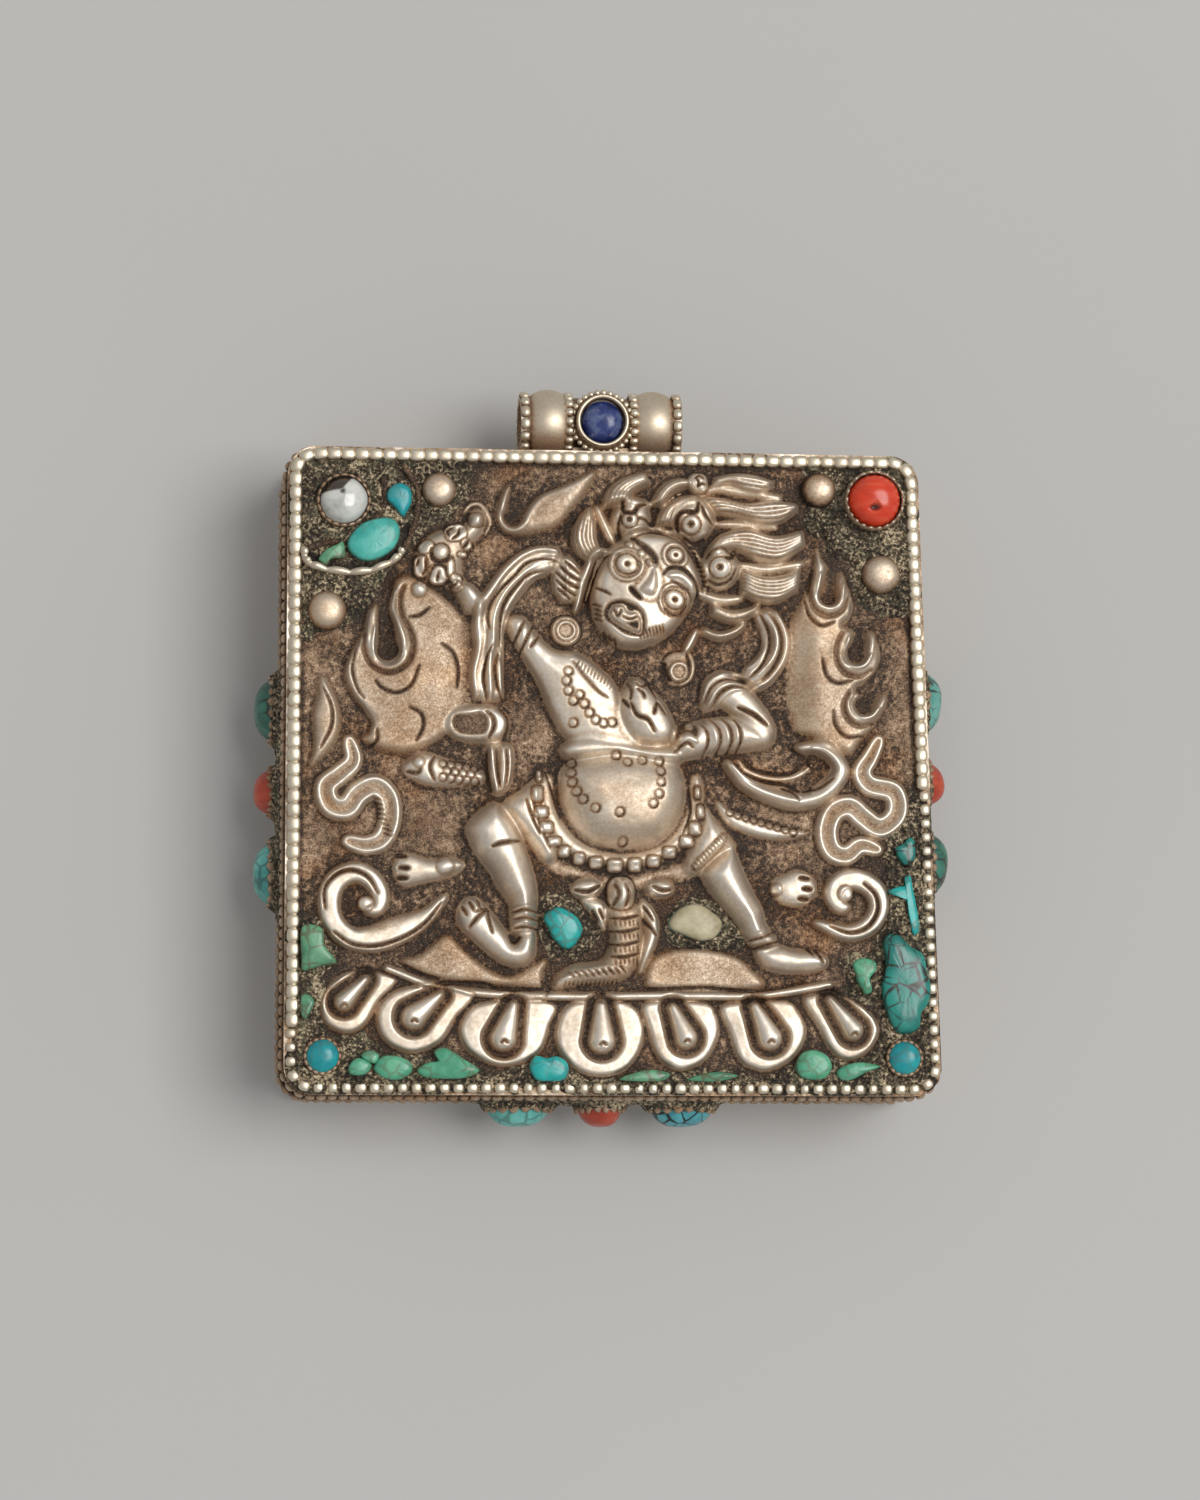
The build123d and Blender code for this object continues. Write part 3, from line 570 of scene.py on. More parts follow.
class Relief:
    """Heights, ink and shine on a grid over the sheet, worked by the chaser's strokes."""

    def __init__(self, left, top, right, bottom):
        self.xs = np.arange(left, right, RELIEF_STEP)
        self.ys = np.arange(top, bottom, RELIEF_STEP)
        self.height = np.zeros((len(self.ys), len(self.xs)))
        self.ink = np.zeros_like(self.height)
        self.shine = np.zeros_like(self.height)

    def window(self, points, reach):
        """The part of the grid round some points."""
        low = points.min(axis=0) - reach
        high = points.max(axis=0) + reach
        rows = slice(*np.searchsorted(self.ys, [low[1], high[1]]))
        columns = slice(*np.searchsorted(self.xs, [low[0], high[0]]))
        x, y = np.meshgrid(self.xs[columns], self.ys[rows])
        return (rows, columns), x, y

    def steps(self, x, y, reach):
        """The window round one point, and the steps from it."""
        where, xs, ys = self.window(np.array([[x, y]]), reach)
        return where, xs - x, ys - y

    def oval(self, x, y, radius, across, turn, reach):
        """The window round a turned oval, with steps as shares of its radii."""
        where, dx, dy = self.steps(x, y, max(radius, across) + reach)
        u = (dx * cos(turn) + dy * sin(turn)) / radius
        v = (dy * cos(turn) - dx * sin(turn)) / across
        return where, u, v

    @staticmethod
    def distance(path, x, y):
        """Distance to a path, and the share of the path at the nearest point."""
        best = np.full(x.shape, 1e9)
        share = np.zeros(x.shape)
        count = len(path) - 1
        for i in range(count):
            (ax, ay), (bx, by) = path[i], path[i + 1]
            dx, dy = bx - ax, by - ay
            t = np.clip(((x - ax) * dx + (y - ay) * dy) / (dx * dx + dy * dy + 1e-9), 0, 1)
            gap = np.hypot(x - ax - t * dx, y - ay - t * dy)
            nearer = gap < best
            best = np.where(nearer, gap, best)
            share = np.where(nearer, (i + t) / count, share)
        return best, share

    @staticmethod
    def inside(path, x, y):
        odd = np.zeros(x.shape, bool)
        for (ax, ay), (bx, by) in zip(path, np.roll(path, -1, axis=0)):
            crosses = (ay > y) != (by > y)
            odd ^= crosses & (x < (bx - ax) * (y - ay) / (by - ay + 1e-12) + ax)
        return odd

    def depth_inside(self, path, x, y):
        gap, _ = self.distance(np.concatenate([path, path[:1]]), x, y)
        return np.where(self.inside(path, x, y), gap, -gap)

    def stroke(self, path, width, taper, reach):
        """The window of a stroke, the distance to it and its half width, less towards both ends."""
        path = smooth_path(path) if isinstance(path, str) else path
        where, x, y = self.window(path, width + reach)
        gap, share = self.distance(path, x, y)
        return where, gap, width * (taper + (1 - taper) * np.sqrt(bulge(2 * share - 1)))

    def lift(self, where, form, height, depth, shine):
        """Raises a window to a form, wipes the ink on it and rubs it bright."""
        raised = depth > 0
        before = self.height[where]
        self.height[where] = np.where(raised, np.maximum(before, height * form), before)
        self.ink[where] = np.where(raised, self.ink[where] * 0.1, self.ink[where])
        self.shine[where] = np.maximum(self.shine[where], shine * np.clip(depth / 3.5, 0, 1))

    def stand(self, where, inside, top):
        """Sets a bright knob on the sheet."""
        self.height[where] = np.where(inside, top, self.height[where])
        self.ink[where] = np.where(inside, self.ink[where] * 0.2, self.ink[where])
        self.shine[where] = np.where(inside, 1.0, self.shine[where])

    def fold(self, where, shape, height, wiped=0.7, shine=1.0):
        """Raises a shape, wipes the ink off it and makes it bright."""
        self.height[where] += height * shape
        self.rub(where, shape, wiped, shine)

    def rub(self, where, shape, wiped, shine=1.0):
        self.ink[where] *= 1 - wiped * shape
        self.shine[where] = np.maximum(self.shine[where], shine * shape)

    def sink(self, where, shape, depth, ink):
        """Strikes a shape into the sheet, where the dirt stays."""
        self.height[where] -= depth * shape
        self.darken(where, ink * np.sqrt(shape))

    def darken(self, where, ink):
        self.ink[where] = np.maximum(self.ink[where], ink)

    def form(self, outline, height, edge, crown, chased=0.2, shine=1.0, fade=None):
        """A form beaten up from behind; fade gives the x where it stands full and where it has run out."""
        path = smooth_path(outline, closed=True) if isinstance(outline, str) else outline
        where, x, y = self.window(path, 8)
        depth = self.depth_inside(path, x, y)
        if fade:
            share = np.clip((x - fade[1]) / (fade[0] - fade[1]), 0, 1)
            height = height * share ** 2 * (3 - 2 * share)
        rim = np.clip(depth / edge, 0, 1)
        full = np.clip(depth / max(depth.max(), 1.0), 0, 1)
        shape = (1 - crown) * np.sin(rim * pi / 2) ** 0.8 + crown * np.sin(full * pi / 2) ** 0.8
        self.lift(where, shape, height, depth, shine)
        self.darken(where, chased * beside(depth, -1.5, 3.5) * np.clip(height / 8, 0, 1))

    def band(self, path, width, height):
        """A flat ribbon along a path, with soft edges."""
        where, gap, half = self.stroke(path, width, 0.3, 6)
        depth = half - gap
        self.lift(where, np.sin(np.clip(depth / 4.5, 0, 1) * pi / 2), height, depth, 1.0)
        self.darken(where, 0.25 * beside(depth, 0, 3.0))

    def ridge(self, path, width, height, taper=0.4, shade=0.35, shine=1.0):
        """A round fold raised along a path; its ends taper."""
        where, gap, half = self.stroke(path, width, taper, 4)
        self.fold(where, bulge(gap / half) ** 0.75, height, shine=shine)
        self.darken(where, shade * beside(gap, half + 0.5, 2.0))

    def groove(self, path, width, depth, ink=0.85):
        """A line struck with the tracer."""
        where, gap, half = self.stroke(path, width, 0.35, 3)
        self.sink(where, bulge(gap / half), depth, ink)

    def channel(self, path, width, height, ink):
        """A ribbon with two bright rims and a dull hollow between them."""
        where, gap, half = self.stroke(path, width, 0.5, 5)
        rim = np.exp(-(((gap - half * 0.8) / (0.3 * half + 0.8)) ** 2))
        hollow = np.clip(1 - gap / (0.6 * half), 0, 1)
        self.height[where] += height * np.maximum(rim, 0.55 * (gap < half * 0.8))
        self.rub(where, rim, 0.6)
        self.darken(where, np.maximum(ink * np.sqrt(hollow), 0.4 * beside(gap, half * 1.45, 2.2)))

    def boss(self, x, y, radius, height, across=None, turn=0.0, ring=0.6, power=2.0):
        """A round or oval boss with a dark line round it; it grows squarer with the power."""
        where, u, v = self.oval(x, y, radius, across or radius, turn, 4)
        gap = (np.abs(u) ** power + np.abs(v) ** power) ** (1 / power)
        base = np.maximum(self.height[where], self.height[where].mean())
        self.stand(where, gap < 1, base + height * np.sqrt(bulge(gap)))
        self.darken(where, ring * beside((gap - 1) * radius, 0.6, 1.6))

    def drop(self, x0, y0, x1, y1, narrow, wide, height):
        """A tear-shaped boss from its narrow end to its round end, in a brown hollow."""
        path = np.array([[x0, y0], [x1, y1]], float)
        where, x, y = self.window(path, wide + 14)
        gap, share = self.distance(path, x, y)
        half = narrow + (wide - narrow) * share
        moat = np.clip(1.4 - 1.4 * np.abs(gap - half - 4.0) / 6.5, 0, 1)
        self.height[where] -= 7 * moat
        self.shine[where] *= 1 - moat
        shape = bulge(gap / half) ** 0.4 * (0.5 + 0.5 * share)
        self.stand(where, gap < half, np.maximum(self.height[where], 0) + height * shape)
        self.darken(where, 0.22 * moat * (gap > half))

    def ring(self, x, y, radius, width, height):
        """A thin raised circle."""
        where, dx, dy = self.steps(x, y, radius + width + 3)
        gap = np.abs(np.hypot(dx, dy) - radius)
        self.fold(where, np.sqrt(bulge(gap / width)), height)
        self.darken(where, 0.7 * beside(gap, width + 0.8, 1.8))

    def punch(self, x, y, radius=4.5, turn=0.6):
        """A small ring struck with a hollow punch, deeper on one side."""
        where, dx, dy = self.steps(x, y, radius + 4)
        gap = np.abs(np.hypot(dx, dy) - radius)
        side = 0.65 + 0.35 * np.cos(np.arctan2(dy, dx) - turn)
        self.sink(where, bulge(gap / 1.5) * side, 1.2, 0.9)

    def pit(self, x, y, radius):
        """A punched hole."""
        where, dx, dy = self.steps(x, y, radius + 3)
        self.sink(where, bulge(np.hypot(dx, dy) / radius), 2, 1.0)

    def stain(self, x, y, radius, across, turn=0.0, amount=0.8):
        """An oval that the polish has not reached."""
        where, u, v = self.oval(x, y, radius, across, turn, 3)
        shape = np.clip((1 - np.hypot(u, v)) / 0.35, 0, 1)
        self.shine[where] *= 1 - amount * shape
        self.darken(where, 0.3 * amount * shape)

    def hollow(self, text, depth, ink):
        """A sunk area with an outline."""
        path = smooth_path(text, closed=True)
        where, x, y = self.window(path, 4)
        shape = np.clip(self.depth_inside(path, x, y) / 3.0, 0, 1)
        self.height[where] -= depth * shape
        self.darken(where, ink * shape)

    def cut(self, text, width, end):
        """A channel sunk to the ground along a path, with a round pit at its end."""
        path = smooth_path(text)
        where, x, y = self.window(path, max(width, end) + 6)
        gap, share = self.distance(path, x, y)
        half = width + (end - width) * share ** 6
        self.height[where] *= np.clip((gap - half) / 4.0, 0, 1)
        sunk = np.clip((half - gap) / 3.0, 0, 1)
        self.shine[where] *= 1 - sunk
        self.darken(where, (0.12 + 0.35 * share ** 4) * sunk)

    def hatch(self, start, end, stroke, count, width=1.5, depth=2, ink=0.9):
        """A row of short parallel strokes from one sheet point to another."""
        for foot in np.linspace(start, end, count):
            self.groove(np.array([foot, foot + stroke]), width, depth, ink)

    def lock(self, height, upper, lower):
        """A lock of hair between two curves."""
        self.form(np.concatenate([smooth_path(upper), smooth_path(lower)[::-1]]), height, 5, 0.2)

    def part(self, strands, upper, lower):
        """Bright strands of a lock and the tapering lines between them."""
        share = np.linspace(0, 1, 24)
        sides = []
        for side in (smooth_path(upper), smooth_path(lower)):
            own = np.linspace(0, 1, len(side))
            sides.append(np.stack([np.interp(share, own, side[:, k]) for k in (0, 1)], axis=1))
        for half_step in range(1, 2 * strands):
            middle = sides[0] + (sides[1] - sides[0]) * half_step / (2 * strands)
            if half_step % 2:
                self.ridge(middle[1:-1], 2.1, 2.0, 0.6, 0.0)
            else:
                self.groove(middle[1:-1], 0.9, 2.0)

    def soften(self, values, sigma):
        """A round blur, sigma in tenths of a millimetre."""
        reach = max(1, int(3 * sigma / RELIEF_STEP))
        steps = np.arange(-reach, reach + 1) * RELIEF_STEP
        weights = np.exp(-0.5 * (steps / sigma) ** 2)
        weights /= weights.sum()
        for axis in (0, 1):
            padded = np.pad(values, [(reach, reach) if a == axis else (0, 0) for a in (0, 1)], mode="edge")
            size = values.shape[axis]
            values = sum(weights[k] * np.take(padded, range(k, k + size), axis) for k in range(2 * reach + 1))
        return values

    def grain(self, sigma, seed):
        """Smooth noise of unit spread."""
        own = np.random.default_rng(seed)
        values = self.soften(own.normal(size=self.height.shape), sigma)
        return values / values.std()


# Forms, lowest first: height, edge roundness, crown share, outline
SLABS = {
    "left_flame": (14, 7, 0.15,
        "363,632 366,616 374,604 386,592 397,579 410,577 429,588 447,600 465,618 480,635 482,690"
        " 470,716 440,742 410,756 388,755 372,750 359,741 368,735 371,723 363,712 353,700 344,682"
        " 346,664 356,644"),
    "right_flame": (14, 7, 0.15,
        "786,640 796,610 804,596 812,576 817,556 819,536 824,552 832,560 844,565 851,581 856,601"
        " 852,614 846,622 862,626 877,628 882,650 879,667 869,678 858,688 876,692 890,690 888,706"
        " 874,727 863,740 852,754 834,748 812,736 790,720"),
    "top_flame": (12, 8, 0.3,
        "508,484 514,500 520,514 530,502 540,493 562,484 595,468 588,488 574,507 558,526 536,533"
        " 512,536 497,525 495,504"),
    "left_leaf": (11, 6, 0.3,
        "321,678 333,694 340,714 340,735 331,752 319,764 310,771 313,752 313,735 312,718 317,698"),
    "left_cloud": (9, 5, 0.1,
        "400,962 418,956 446,936 464,950 486,968 508,976 530,966 548,958 543,974 541,989 510,988"
        " 468,984 430,979"),
    "right_cloud": (9, 5, 0.1,
        "644,976 652,958 676,948 706,948 736,955 752,968 764,986 726,991 690,991 648,988"),
    "scroll_leaf": (12, 5, 0.2,
        "346,934 372,926 390,919 410,914 430,906 449,893 440,915 421,935 398,948 370,954 345,947"),
    "apron_tail": (19, 10, 0.3,
        "607,906 638,904 643,930 641,956 630,976 612,984 578,986 553,990 556,974 572,964 598,960"
        " 608,946 607,926"),
}
# X where a flame stands full and where it has run out into the ground
FADES = {"left_flame": (432.0, 486.0), "right_flame": (822.0, 776.0)}
# Forms beside the figure that are rubbed bright; the others stay brown
SLAB_SHINE = {"right_flame": 0.8, "top_flame": 0.6, "left_leaf": 0.9, "scroll_leaf": 0.8, "apron_tail": 0.8}
# Notches in the flames: path, half width, radius of the pit at the end
NOTCHES = [
    ("381,566 384,590 385,620 386,640 387,655", 6.5, 11.0),
    ("838,552 836,566 833,582 831,593", 6.0, 9.5),
    ("859,594 861,612 863,631 858,651", 5.5, 9.5),
    ("888,666 880,686 866,702", 5.0, 9.5),
    ("514,490 512,504 511,516", 5.0, 9.5),
]
# The figure, its dress and what it holds, as the forms above
BODY = {
    "hip_band": (10, 10, 0.3,
        "534,782 538,816 550,844 577,862 617,870 657,864 690,844 705,814 703,778 690,776 684,812"
        " 660,842 617,852 580,840 558,812 552,776"),
    "left_thigh": (18, 14, 0.3,
        "540,776 520,790 498,806 504,818 524,842 544,866 560,856 548,824 544,800"),
    "right_thigh": (18, 14, 0.3,
        "704,802 716,818 728,832 738,848 716,862 696,878 682,868 690,840 700,820"),
    "skirt": (5, 20, 0.4,
        "540,846 560,862 617,876 676,864 700,846 702,866 686,882 660,878 640,890 600,890 576,880"
        " 548,872"),
    "left_scarf": (13, 9, 0.2,
        "560,548 540,545 518,552 500,567 486,587 473,608 470,632 473,652 469,676 472,696 484,705"
        " 502,700 503,672 500,648 507,616 530,584 558,569"),
    "left_scarf_end": (11, 6, 0.2, "484,746 512,746 513,772 508,792 492,798 488,776"),
    "right_scarf": (13, 8, 0.2,
        "754,611 776,606 791,634 787,662 768,686 752,690 742,670 757,655 765,635"),
    "sceptre_hand": (14, 10, 0.5,
        "412,562 416,546 430,534 448,528 463,523 468,512 478,508 487,516 480,536 466,552 462,574"
        " 476,596 478,614 464,616 450,594 432,588 416,578"),
    "wrist": (17, 8, 0.3, "457,587 468,583 480,594 486,612 479,622 467,612 459,600"),
    "fish": (13, 8, 0.4, "401,771 412,757 425,753 444,759 484,773 482,786 455,790 420,787"),
    "fish_tail": (9, 5, 0.3, "716,800 735,810 770,822 809,832 775,840 738,831 722,819"),
    "left_paw": (12, 8, 0.4, "392,873 396,860 408,854 430,860 450,857 466,867 450,879 420,887 402,889"),
    "right_paw": (12, 8, 0.4, "771,882 786,872 800,868 817,878 817,895 800,907 778,902"),
    "left_hand": (17, 8, 0.2, "441,727 450,712 468,706 494,707 509,720 507,736 494,745 462,744 447,737"),
    "torso": (23, 9, 0.4,
        "504,630 509,617 524,617 536,633 554,649 576,652 596,664 616,684 626,714 640,742 650,764"
        " 600,766 566,742 549,716 536,686 521,660"),
    "waist": (25, 10, 0.4, "562,744 590,736 640,744 676,746 684,762 660,768 620,760 580,764 560,758"),
    "upper_arm": (19, 11, 0.4,
        "700,694 706,676 724,668 742,680 758,694 774,716 778,734 768,748 746,744 736,722 720,708"
        " 704,712"),
    "forearm": (23, 12, 0.4,
        "668,730 690,722 716,716 742,716 764,728 768,746 744,752 716,754 694,760 674,760"),
    "fist": (30, 12, 0.4,
        "626,680 638,677 655,691 669,709 676,728 672,742 658,750 638,748 623,736 615,716 618,696"),
    "belly": (36, 26, 0.5,
        "556,786 562,766 586,753 620,749 658,753 679,764 687,788 683,814 667,838 646,849 616,851"
        " 586,843 564,818"),
    "left_leg": (28, 18, 0.35,
        "492,803 474,815 465,828 466,840 474,856 486,872 498,892 508,908 511,936 535,936 538,908"
        " 538,888 532,866 525,846 517,826 506,810"),
    "left_foot": (20, 12, 0.3,
        "455,914 461,902 475,897 488,908 499,921 510,935 514,942 518,932 535,932 537,948 533,961"
        " 519,969 502,966 485,954 468,939 457,927"),
    "right_leg": (28, 18, 0.35,
        "730,845 712,857 699,872 704,886 719,906 734,923 750,947 779,944 768,924 764,908 753,888"
        " 743,866 736,849"),
    "right_foot": (18, 11, 0.3,
        "753,948 776,943 796,947 816,949 830,958 825,969 801,974 772,972 758,963"),
    "left_flap": (14, 7, 0.4, "569,888 578,880 594,879 603,886 598,897 583,901 573,897"),
    "right_flap": (14, 7, 0.4, "644,886 655,879 669,880 675,888 670,897 656,899 646,895"),
    "knob": (22, 8, 0.4, "606,892 611,881 620,877 629,881 635,892 632,904 626,912 614,912 608,904"),
    "left_tongue": (10, 6, 0.3, "579,902 594,898 606,904 606,920 604,934 594,920"),
    "right_tongue": (12, 6, 0.3, "638,900 652,906 660,924 657,944 648,962 638,976 640,950 644,928"),
    "skull_1": (23, 11, 0.5, "630,495 647,503 652,518 643,534 630,540 615,532 609,517 615,502"),
    "skull_2": (23, 12, 0.5, "692,490 710,497 718,514 711,533 694,542 676,533 667,514 675,497"),
    "skull_3": (23, 11, 0.5, "720,544 736,551 743,566 736,582 720,589 705,581 698,566 706,551"),
    "head": (31, 11, 0.3,
        "602,551 598,566 592,580 589,598 591,614 598,629 608,641 622,649 640,649 660,641 676,628"
        " 688,612 696,598 702,584 699,568 692,553 683,540 671,533 655,530 640,530 626,534 612,544"),
}
# Forms of the figure that stay dull
DULL = {
    "hip_band", "skirt", "left_thigh", "right_thigh", "waist", "sceptre_hand",
    "skull_1", "skull_2", "skull_3",
}
DULL_SHINE = 0.35
# Hair: height, number of strands, upper and lower edge
LOCKS = [
    (17, 4, "714,474 735,469 756,470 777,477", "712,483 730,481 746,486 762,488 774,483"),
    (20, 5, "700,493 722,494 746,499 772,496 801,499", "716,512 738,514 764,520 784,519 801,505"),
    (22, 7,
        "704,552 714,538 724,530 748,525 776,532 806,525",
        "714,556 728,549 742,550 758,558 782,559 808,542"),
    (21, 7, "741,565 764,573 786,571 803,563", "740,590 754,599 777,601 800,588"),
    (16, 4, "711,600 730,608 750,605 762,599", "709,613 728,621 746,618 760,606"),
    (14, 3, "702,624 718,630 734,626 746,618", "700,633 718,639 736,634 748,622"),
    (19, 6, "588,505 576,519 570,538 577,554 588,561", "590,505 595,522 597,540 602,551 604,556"),
    (15, 1, "560,555 551,572 551,588 560,603", "570,555 580,568 580,586 572,603"),
    (20, 6, "601,508 606,490 620,477 644,469", "626,502 630,494 640,487 652,481"),
    (19, 5, "650,501 660,484 674,476 690,475", "662,505 672,493 682,487 694,486"),
    (20, 5, "654,524 662,506 680,494 698,492", "672,524 675,512 684,503 696,500"),
]
# Low hair that fills the gaps between the locks
HAIR_ROOTS = [
    "700,490 720,485 745,489 782,493", "718,521 745,521 778,524", "742,562 768,566 804,560",
    "700,592 722,598 742,596", "604,500 628,498 650,503", "596,506 604,524 612,540",
]
# Petals: a drop's narrow end, round end and half widths, and the rim round it
PETALS = [
    ((366, 981, 345, 1003, 4, 9),
        "398,982 372,973 346,976 329,990 322,1008 330,1027 350,1034 367,1025 380,1003"),
    ((440, 996, 414, 1018, 4, 12),
        "474,997 446,988 410,988 388,998 378,1016 385,1040 411,1053 440,1043 456,1020"),
    ((513, 1006, 503, 1038, 5, 13),
        "556,1006 528,1000 496,1001 472,1008 460,1028 468,1050 492,1064 517,1064 540,1051 549,1028"),
    ((600, 1006, 601, 1040, 6, 13),
        "630,1004 600,1001 570,1004 557,1024 558,1048 576,1069 601,1076 626,1068 641,1046 642,1020"),
    ((672, 1008, 685, 1037, 5, 11),
        "708,1003 676,1001 643,1004 648,1030 656,1054 668,1065 684,1069 706,1058 718,1034 716,1014"),
    ((754, 1006, 769, 1037, 5, 12),
        "788,1000 754,1001 721,1006 730,1034 738,1057 752,1067 770,1069 794,1056 806,1032 799,1010"),
    ((830, 999, 853, 1029, 4, 10),
        "856,1000 832,993 804,998 820,1028 832,1050 850,1059 870,1049 880,1028 870,1010"),
]
# Folds raised on the forms: half width, height, paths
RIDGES = [
    (3.0, 4, [
        "369,612 366,629 368,647 376,662 388,668 401,662 404,647 397,629 391,615 391,600 400,586",
        "358,648 349,668 349,682 358,700 367,713 374,726 371,737",
        "820,551 819,570 815,587 820,601 830,604 840,601 842,589 841,574",
        "838,637 837,653 845,663 858,666 869,659 873,645 877,630", "850,584 854,602 848,620",
        "848,695 849,708 858,718 872,715 881,708 889,696", "880,640 881,654 876,668",
        "508,486 502,502 499,516 504,528 514,531 524,522 530,508 545,494 570,484 592,471",
    ]),
    (4.2, 6, [
        "558,551 540,549 520,556 503,571 490,588 478,607 474,628 476,652 472,674 475,698",
        "554,559 534,565 516,578 501,596 492,616 490,642 488,668 489,702",
        "552,566 532,578 517,595 506,612 500,632 500,656 499,698", "490,748 492,772 495,794",
        "503,748 503,772 500,792",
    ]),
    (4.4, 6, ["776,609 787,635 784,660 768,682 753,688", "763,613 776,634 774,654 760,674 748,680"]),
    (5.0, 13, ["604,549 592,557 585,572 580,590 574,612", "684,652 690,642 697,628"]),
]
# The thick loop of the scarf at the right
SCARF_LOOP = "727,763 746,783 770,795 798,801 826,792 843,768 824,747 800,747"
# Bright edges and folds drawn last: half width, height, paths
GLINTS = [
    (4.6, 2.5, [
        "556,552 536,549 520,556 505,570 490,590 481,605 477,622 479,640 474,660 471,680 475,700",
        "546,566 526,574 508,590 498,606 493,622 493,646", "523,579 512,595 503,613",
        "488,654 486,672 489,698", "497,662 497,680 501,700",
    ]),
    (2.6, 3, [
        "776,610 784,625 787,645 782,662 770,678 757,686", "757,615 764,632 764,648 756,660 747,667",
        "765,609 774,626 776,645 770,660 756,675", "490,750 491,772 496,794", "500,748 502,770 501,790",
        "508,750 510,768 507,786",
    ]),
    (2.8, 4, [
        "702,698 708,682 722,673 735,672 746,677", "708,705 715,691 728,684 745,684",
        "716,709 722,697 732,690 742,689",
    ]),
    (3.0, 3, [
        "704,720 712,732 714,744 711,756", "716,718 724,730 726,742 722,754",
        "727,718 734,728 736,740 733,752",
    ]),
    (5.5, 3, ["728,766 738,780 754,789 776,796 798,801", "812,748 828,754 836,766 828,780 812,791"]),
    (2.8, 4, [
        "738,759 748,770 768,777 790,777 806,770 813,763", "730,764 744,777 762,784 786,788 800,796",
    ]),
    (2.4, 3, [
        "511,911 522,909 536,910", "512,917 524,915 537,917", "513,926 524,924 537,926",
        "746,937 758,934 770,927", "750,945 764,941 777,936", "755,952 766,949 779,945",
    ]),
    (4.2, 4, ["604,548 592,556 585,572 580,590 574,612", "604,552 616,553 628,554 637,563"]),
    (2.8, 5, ["622,536 634,528 650,526 668,529 684,535 694,548 702,563 706,579 705,590"]),
    (3.2, 2, [
        "616,507 613,520 616,532", "680,517 685,510 692,508", "702,505 707,512 710,519",
        "699,536 708,531", "714,553 720,550 727,551", "728,560 732,566 730,574",
    ]),
]
# Lines struck with the tracer: half width, depth, paths
GROOVES = [
    (1.8, 4, [
        "355,652 351,672 356,692 363,702", "374,684 382,692 396,696 410,688 418,668",
        "407,620 418,618 428,610", "440,646 452,655 457,672 456,690", "408,710 420,717 422,730 415,744",
        "376,732 376,744 366,752", "806,598 811,614 822,623 836,619", "823,656 827,673 838,681 854,678",
        "834,709 836,723 847,735 866,734", "322,690 331,710 331,730 320,752",
    ]),
    (2.4, 5, [
        "326,912 325,892 336,878 352,873 368,880 378,896",
        "334,934 352,946 376,948 402,940 424,926 441,905",
        "830,925 850,932 868,926 878,910 876,894 864,882",
    ]),
    (2.2, 4, [
        "626,683 629,692 628,702", "633,683 640,688 647,683", "634,690 640,694 642,700",
        "655,703 651,716", "655,703 664,716", "621,700 627,710",
    ]),
    (2.3, 4, ["646,680 650,690 655,700", "628,704 634,717 645,722 652,734"]),
    (2.8, 5, ["736,707 752,714 767,725", "573,891 586,893 600,886", "651,886 661,891 671,890"]),
    (1.8, 4, [
        "556,562 540,560 524,565 512,578 500,590 489,605 486,620 488,632",
        "542,572 527,576 517,585 504,602 499,618 498,648", "490,648 485,660 482,680 485,701",
        "497,655 493,670 496,690 501,701", "486,752 486,772 491,794", "495,750 496,772 499,790",
        "505,750 506,768 505,786", "770,611 779,628 781,647 774,665 762,679",
        "760,612 769,630 769,648 761,665 750,676", "704,702 711,687 725,679 745,681",
        "712,707 718,694 730,687 745,687", "698,722 705,733 706,745 702,757",
        "709,719 717,730 719,742 716,755", "721,718 728,729 730,741 727,753",
        "733,719 738,730 739,742 736,752", "733,762 744,773 762,780 784,783 800,790",
        "742,757 753,767 770,772 790,772 804,763", "790,746 803,755 813,767", "804,791 820,787 834,777",
        "781,787 792,791 799,801",
    ]),
    (1.8, 3, [
        "511,914 523,912 537,914", "512,921 524,920 537,922", "513,930 525,929 537,931",
        "747,941 760,938 773,932", "752,949 765,945 778,941",
    ]),
    (2.4, 4, [
        "489,850 500,846 520,843", "474,914 486,911 488,922 491,935", "485,912 476,920 468,930",
        "461,908 466,918", "468,903 473,913", "476,901 480,910", "508,936 513,944 520,938",
        "806,947 813,955", "814,949 821,957", "819,955 824,963",
    ]),
    (2.0, 4, [
        "524,621 518,632 512,646", "532,627 525,640 518,656", "538,637 528,650", "585,914 590,922",
        "591,911 597,922", "598,910 603,920", "642,906 652,921", "642,920 656,936",
        "563,562 571,568 578,573", "558,566 567,575 578,581", "554,572 564,582 577,589",
        "554,580 564,590 574,596", "556,589 563,595 569,600",
    ]),
    (2.0, 3, [
        "440,984 482,984 500,990 541,990", "620,991 660,989 704,987 760,991 806,981",
        "402,966 424,976 440,980", "541,982 548,990 543,998",
    ]),
    (1.6, 3, [
        "530,790 534,812 541,832 549,850", "524,800 530,818 538,836", "545,776 553,800 560,820",
        "688,790 690,812 682,834",
    ]),
]
# Round the root of each flame notch: a bright lip and a brown furrow outside it
FLAME_LIPS = [
    "393,594 391,612 398,630 402,646 398,659 387,665 376,660 372,647 374,630",
    "822,570 819,588 824,601 833,604 842,597 846,580", "851,634 848,650 853,662 864,663 873,652",
    "860,692 855,704 861,714 872,714 880,706",
]
FLAME_FURROWS = [
    "403,588 399,600 400,616 409,634 412,651 405,668 388,676 371,669 363,653 364,636",
    "815,566 811,588 816,606 829,613 843,608 851,594", "845,628 838,642 838,658 847,671 862,674 874,667",
    "852,688 845,702 849,717 861,724 876,721",
]
